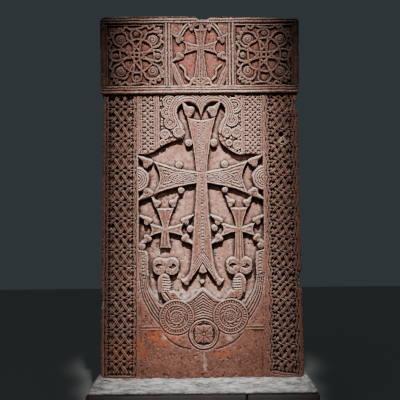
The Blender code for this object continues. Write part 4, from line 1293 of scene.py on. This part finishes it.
def mortar(finish):
    """The mortar round the slab's foot: a rough bank, trowelled up from the plinth's edge."""
    low, high = np.array(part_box("mortar_bed")) * 1000
    steps = ((0.0, 0.0), (0.0, 13.0), (0.05, 17.0), (0.12, 24.0), (0.2, 32.0), (0.3, 41.0), (0.4, 49.0),
             (0.5, 56.0),
             (0.6, 62.0), (0.7, 68.0), (0.8, 73.0), (0.9, 78.0), (1.0, 81.0), (1.0, 0.0))
    rings = []
    for share, rise in steps:
        outer, inner = rounded_ring(high[0] - 6, high[1] - 6, 14), rounded_ring(556, 116, 6)
        plan = outer + (inner - outer) * share
        x, y = plan.T
        lump = 4.5 * drift(x, y, 70, 201) + 3.0 * drift(x, y + rise, 24, 202)
        lump = lump + 2.2 * drift(x, y + 2 * rise, 9, 203)
        creep = 1 + 0.28 * share * ramp(np.abs(x), 540, 570)
        z = low[2] + np.clip(rise * creep + lump * (rise > 0), 0, high[2] - low[2])
        pushed = plan * (1 + (0.004 * drift(x, rise + y, 33, 204) * (0 < share < 1)))[:, None]
        rings.append(np.column_stack([pushed, z]))
    count = len(rings[0])
    points = np.vstack(rings) / 1000
    faces = []
    for k in range(len(rings)):
        near = np.arange(count) + k * count
        far = np.arange(count) + (k + 1) % len(rings) * count
        near_next, far_next = np.roll(near, -1), np.roll(far, -1)
        faces += [np.column_stack([near, near_next, far_next]), np.column_stack([near, far_next, far])]
    faces = np.vstack(faces)
    piece = add_piece("mortar_bank", points, faces, corner_normals(points, faces), finish, {})
    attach(piece, "root")
    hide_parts("mortar_bed")


def split_block(node, finish, seed):
    """A block of the plinth: split to its size, its arrises worn round and its faces uneven."""
    low, high = np.array(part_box(node)) * 1000
    counts = np.maximum(((high - low) / 12).round().astype(int), 2)
    spots = np.indices(tuple(counts + 1)).reshape(3, -1).T
    grid = spots[((spots == 0) | (spots == counts)).any(1)]
    number = {tuple(spot): place for place, spot in enumerate(grid.tolist())}
    faces = []
    for axis in range(3):
        a, b = (axis + 1) % 3, (axis + 2) % 3
        for end in (0, counts[axis]):
            for i in range(counts[a]):
                for j in range(counts[b]):
                    corners = []
                    for di, dj in ((0, 0), (1, 0), (1, 1), (0, 1)):
                        spot = [0, 0, 0]
                        spot[axis], spot[a], spot[b] = end, i + di, j + dj
                        corners.append(number[tuple(int(v) for v in spot)])
                    corners = corners if end else corners[::-1]
                    faces += [corners[:3], (corners[0], corners[2], corners[3])]
    points = low + grid / counts * (high - low)
    moved = points.copy()
    for axis in range(3):
        u, v = points[:, (axis + 1) % 3], points[:, (axis + 2) % 3]
        rough = 2.4 + 1.6 * drift(u, v, 60, seed) + 1.2 * drift(u, v, 22, seed + 1)
        rough = rough + 0.8 * drift(u, v, 11, seed + 2)
        others = [k for k in range(3) if k != axis]
        arris = np.minimum.reduce([np.minimum(points[:, k] - low[k],
                                              high[k] - points[:, k]) for k in others])
        rough = rough + 5.0 * (1 - ramp(arris, 0, 16)) * (1 + 0.6 * drift(u, v, 30, seed + 3))
        inward = (points[:, axis] == low[axis]) * 1.0 - (points[:, axis] == high[axis])
        if axis == 2:
            inward = np.minimum(inward, 0)
            rough = rough * 0.6
        moved[:, axis] += inward * rough
    faces = np.array(faces)
    piece = add_piece(node + "_stone", moved / 1000, faces, corner_normals(moved, faces), finish, {})
    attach(piece, "root")
    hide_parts(node)


def red_tuff():
    """Tuff, carved with chisels: a soft, porous volcanic stone, pale on its worn ridges, with painted shade
    darkening its cuts.
    """
    made, tree, shader = new_material("carved red tuff")
    where = add(tree, "ShaderNodeTexCoord").outputs["Object"]
    # Each layer: the mark it follows, its patches in millimetres, its least and most share, its colour
    layers = (
        ("", 260, 0.0, 1.0, "#8a5848"),
        ("", 70, 0.0, 0.6, "#603a2e"),
        ("pale", 150, 0.5, 0.95, "#b48677"),
        ("blush", 50, 0.5, 0.9, "#a35c52"),
        ("", 12, -0.5, 0.5, "#a67c6b"),
        ("", 7, -0.9, 0.8, "#3c241c"),
        ("ochre", 30, 0.2, 0.95, "#9a4a26"),
        # Pale worn ridges: wear, and round the crosses a painted pool of the lamps' light
        ("worn", 24, 0.4, 0.9, "#c4a394"),
        ("fresh", 16, 0.5, 0.95, "#c4ada0"),
        # Near-black painted shade in the cuts and hollows, with dark scars on the niche ground
        ("shade_and_scars", 60, 0.85, 1.0, "#150c09"),
        # Darker towards the cornice's ends and top
        ("cornice_darkening", 45, 0.45, 0.9, "#201a16"),
        # Pale dust on upward faces: dust, and round the crosses a painted pool of the lamps' light
        ("dust", 18, 0.2, 1.0, "#dccabe"),
    )
    colour = linear("#7a4e40")
    for mark, size, least, most, tint in layers:
        patches = add(tree, "ShaderNodeTexNoise",
                      {"Vector": where, "Scale": 1000 / size, "Detail": 4.0, "Roughness": 0.65})
        share = add(tree, "ShaderNodeMapRange",
                    {0: patches.outputs[0], 1: 0.35, 2: 0.65, 3: least, 4: most}).outputs[0]
        level = 1.0
        if mark:
            level = add(tree, "ShaderNodeAttribute", attribute_name=mark).outputs["Fac"]
        share = add(tree, "ShaderNodeMath", {0: share, 1: level}, operation="MULTIPLY",
                    use_clamp=True).outputs[0]
        colour = add(tree, "ShaderNodeMix", {0: share, 6: colour, 7: linear(tint)},
                     data_type="RGBA").outputs[2]
    tree.links.new(colour, shader.inputs["Base Color"])
    shader.inputs["Roughness"].default_value = 0.92
    shader.inputs["Specular IOR Level"].default_value = 0.25
    # Grit of about 4 mm and open pores of about 9 mm: coarser than the stone's own, so that they show
    grit = add(tree, "ShaderNodeTexNoise",
               {"Vector": where, "Scale": 1000 / 4, "Detail": 4.0, "Roughness": 0.7})
    cells = add(tree, "ShaderNodeTexVoronoi", {"Vector": where, "Scale": 1000 / 9})
    pores = add(tree, "ShaderNodeMapRange", {0: cells.outputs["Distance"], 1: 0.0, 2: 0.4, 3: 0.0, 4: 0.6})
    rough = add(tree, "ShaderNodeMath", {0: grit.outputs[0], 1: pores.outputs[0]}, operation="ADD")
    bump = add(tree, "ShaderNodeBump", {"Height": rough.outputs[0], "Strength": 0.8, "Distance": 0.0018})
    tree.links.new(bump.outputs[0], shader.inputs["Normal"])
    return made


def lime_mortar():
    """Lime mortar, trowelled on roughly: grey and gritty, with white streaks where lime ran."""
    made, tree, shader = new_material("trowelled lime mortar")
    where = add(tree, "ShaderNodeTexCoord").outputs["Object"]
    along = add(tree, "ShaderNodeMapping", {"Vector": where, "Scale": (0.3, 1.0, 1.8)}).outputs[0]
    colour = linear("#8f8a86")
    for size, least, most, tint in ((90, 0.0, 0.8, "#5b5550"), (26, -0.3, 0.9, "#d8d6d3"),
                                    (12, -0.5, 1.0, "#37322f"), (6, -0.6, 0.6, "#e6e4e0")):
        patches = add(tree, "ShaderNodeTexNoise",
                      {"Vector": along, "Scale": 1000 / size, "Detail": 4.0, "Roughness": 0.7})
        share = add(tree, "ShaderNodeMapRange",
                    {0: patches.outputs[0], 1: 0.38, 2: 0.62, 3: least, 4: most}).outputs[0]
        share = add(tree, "ShaderNodeMath", {0: share, 1: 1.0}, operation="MULTIPLY",
                    use_clamp=True).outputs[0]
        colour = add(tree, "ShaderNodeMix", {0: share, 6: colour, 7: linear(tint)},
                     data_type="RGBA").outputs[2]
    tree.links.new(colour, shader.inputs["Base Color"])
    shader.inputs["Roughness"].default_value = 0.95
    grit = add(tree, "ShaderNodeTexNoise",
               {"Vector": where, "Scale": 1000 / 6, "Detail": 5.0, "Roughness": 0.7})
    bump = add(tree, "ShaderNodeBump", {"Height": grit.outputs[0], "Strength": 0.8, "Distance": 0.003})
    tree.links.new(bump.outputs[0], shader.inputs["Normal"])
    return made


def plinth_stone():
    """Dark split blocks, soiled, with rusty patches: near black and greenish, partly the stone's own
    colour, partly painted shade at the stele's foot.
    """
    made, tree, shader = new_material("split dark basalt")
    where = add(tree, "ShaderNodeTexCoord").outputs["Object"]
    grain = add(tree, "ShaderNodeTexNoise",
                {"Vector": where, "Scale": 1000 / 9, "Detail": 5.0, "Roughness": 0.7}).outputs["Fac"]
    patch = add(tree, "ShaderNodeTexNoise",
                {"Vector": where, "Scale": 1000 / 90, "Detail": 3.0, "Roughness": 0.6}).outputs["Fac"]
    # Near-black and greenish tone: partly the blocks' own stone, partly painted shade
    tone = add(tree, "ShaderNodeValToRGB", {0: patch})
    tone.color_ramp.elements[0].color, tone.color_ramp.elements[0].position = linear("#262824"), 0.4
    tone.color_ramp.elements[1].color, tone.color_ramp.elements[1].position = linear("#46302a"), 0.68
    speck = add(tree, "ShaderNodeMix", {0: grain, 6: tone.outputs[0], 7: linear("#33322d")},
                data_type="RGBA")
    tree.links.new(speck.outputs[2], shader.inputs["Base Color"])
    shader.inputs["Roughness"].default_value = 0.9
    bump = add(tree, "ShaderNodeBump", {"Height": grain, "Strength": 0.7, "Distance": 0.003})
    tree.links.new(bump.outputs[0], shader.inputs["Normal"])
    return made


# Floor, lights and camera
def studio():
    """The floor, a dim room, and three spots from above that light the head, the middle and the foot."""
    reach = 9.0
    floor_mesh = bpy.data.meshes.new("floor")
    corners = [(-reach, -reach, 0), (reach, -reach, 0), (reach, reach, 0), (-reach, reach, 0)]
    floor_mesh.from_pydata(corners, [], [(0, 1, 2, 3)])
    floor = bpy.data.objects.new("floor", floor_mesh)
    bpy.context.scene.collection.objects.link(floor)
    paper, _, shader = new_material("pale matt floor")
    shader.inputs["Base Color"].default_value = linear("#b9b7b2")
    shader.inputs["Roughness"].default_value = 0.9
    floor_mesh.materials.append(paper)

    world = bpy.data.worlds.new("studio")
    world.use_nodes = True
    world.node_tree.nodes["Background"].inputs["Color"].default_value = linear("#9fb0b8")
    world.node_tree.nodes["Background"].inputs["Strength"].default_value = 0.1
    bpy.context.scene.world = world

    for name, kind, power, aim, spread in (("high", "SPOT", 2500.0, 1.84, 14),
                                           ("middle", "SPOT", 3000.0, 1.15, 13),
                                           ("low", "SPOT", 2100.0, 0.22, 14),
                                           ("fill", "AREA", 7.0, 1.2, 0)):
        lamp = bpy.data.lights.new(name, kind)
        lamp.energy = power
        if kind == "SPOT":
            lamp.shadow_soft_size, lamp.spot_size, lamp.spot_blend = 0.1, math.radians(spread), 1.0
        else:
            lamp.size = 2.5
        light = bpy.data.objects.new(name, lamp)
        light.location = (0.1, -3.9, 5.4) if kind == "SPOT" else (-1.5, -4.5, 1.6)
        target = np.array([0.0, -0.1, aim]) - light.location
        light.rotation_euler = (math.atan2(math.hypot(target[0], target[1]), -target[2]), 0,
                                math.atan2(-target[0], target[1]))
        bpy.context.scene.collection.objects.link(light)


def camera():
    """Level with the great cross, straight in front, rolled a little as the photograph was taken."""
    distance, view, roll = 6.0, 2.2, 0.55
    lens = bpy.data.cameras.new("camera")
    lens.sensor_width = 36.0
    lens.lens = 36.0 * distance / view
    made = bpy.data.objects.new("camera", lens)
    made.location = (-0.0055, FACE_Y - distance, FOOT_Z + 0.976)
    made.rotation_euler = (math.radians(90), math.radians(roll), 0)
    bpy.context.scene.collection.objects.link(made)
    bpy.context.scene.camera = made


carve()
paint()
dress_slab(red_tuff())
mortar(lime_mortar())
basalt_with_painted_shade = plinth_stone()
split_block("plinth_block_left", basalt_with_painted_shade, 301)
split_block("plinth_block_right", basalt_with_painted_shade, 311)
studio()
camera()
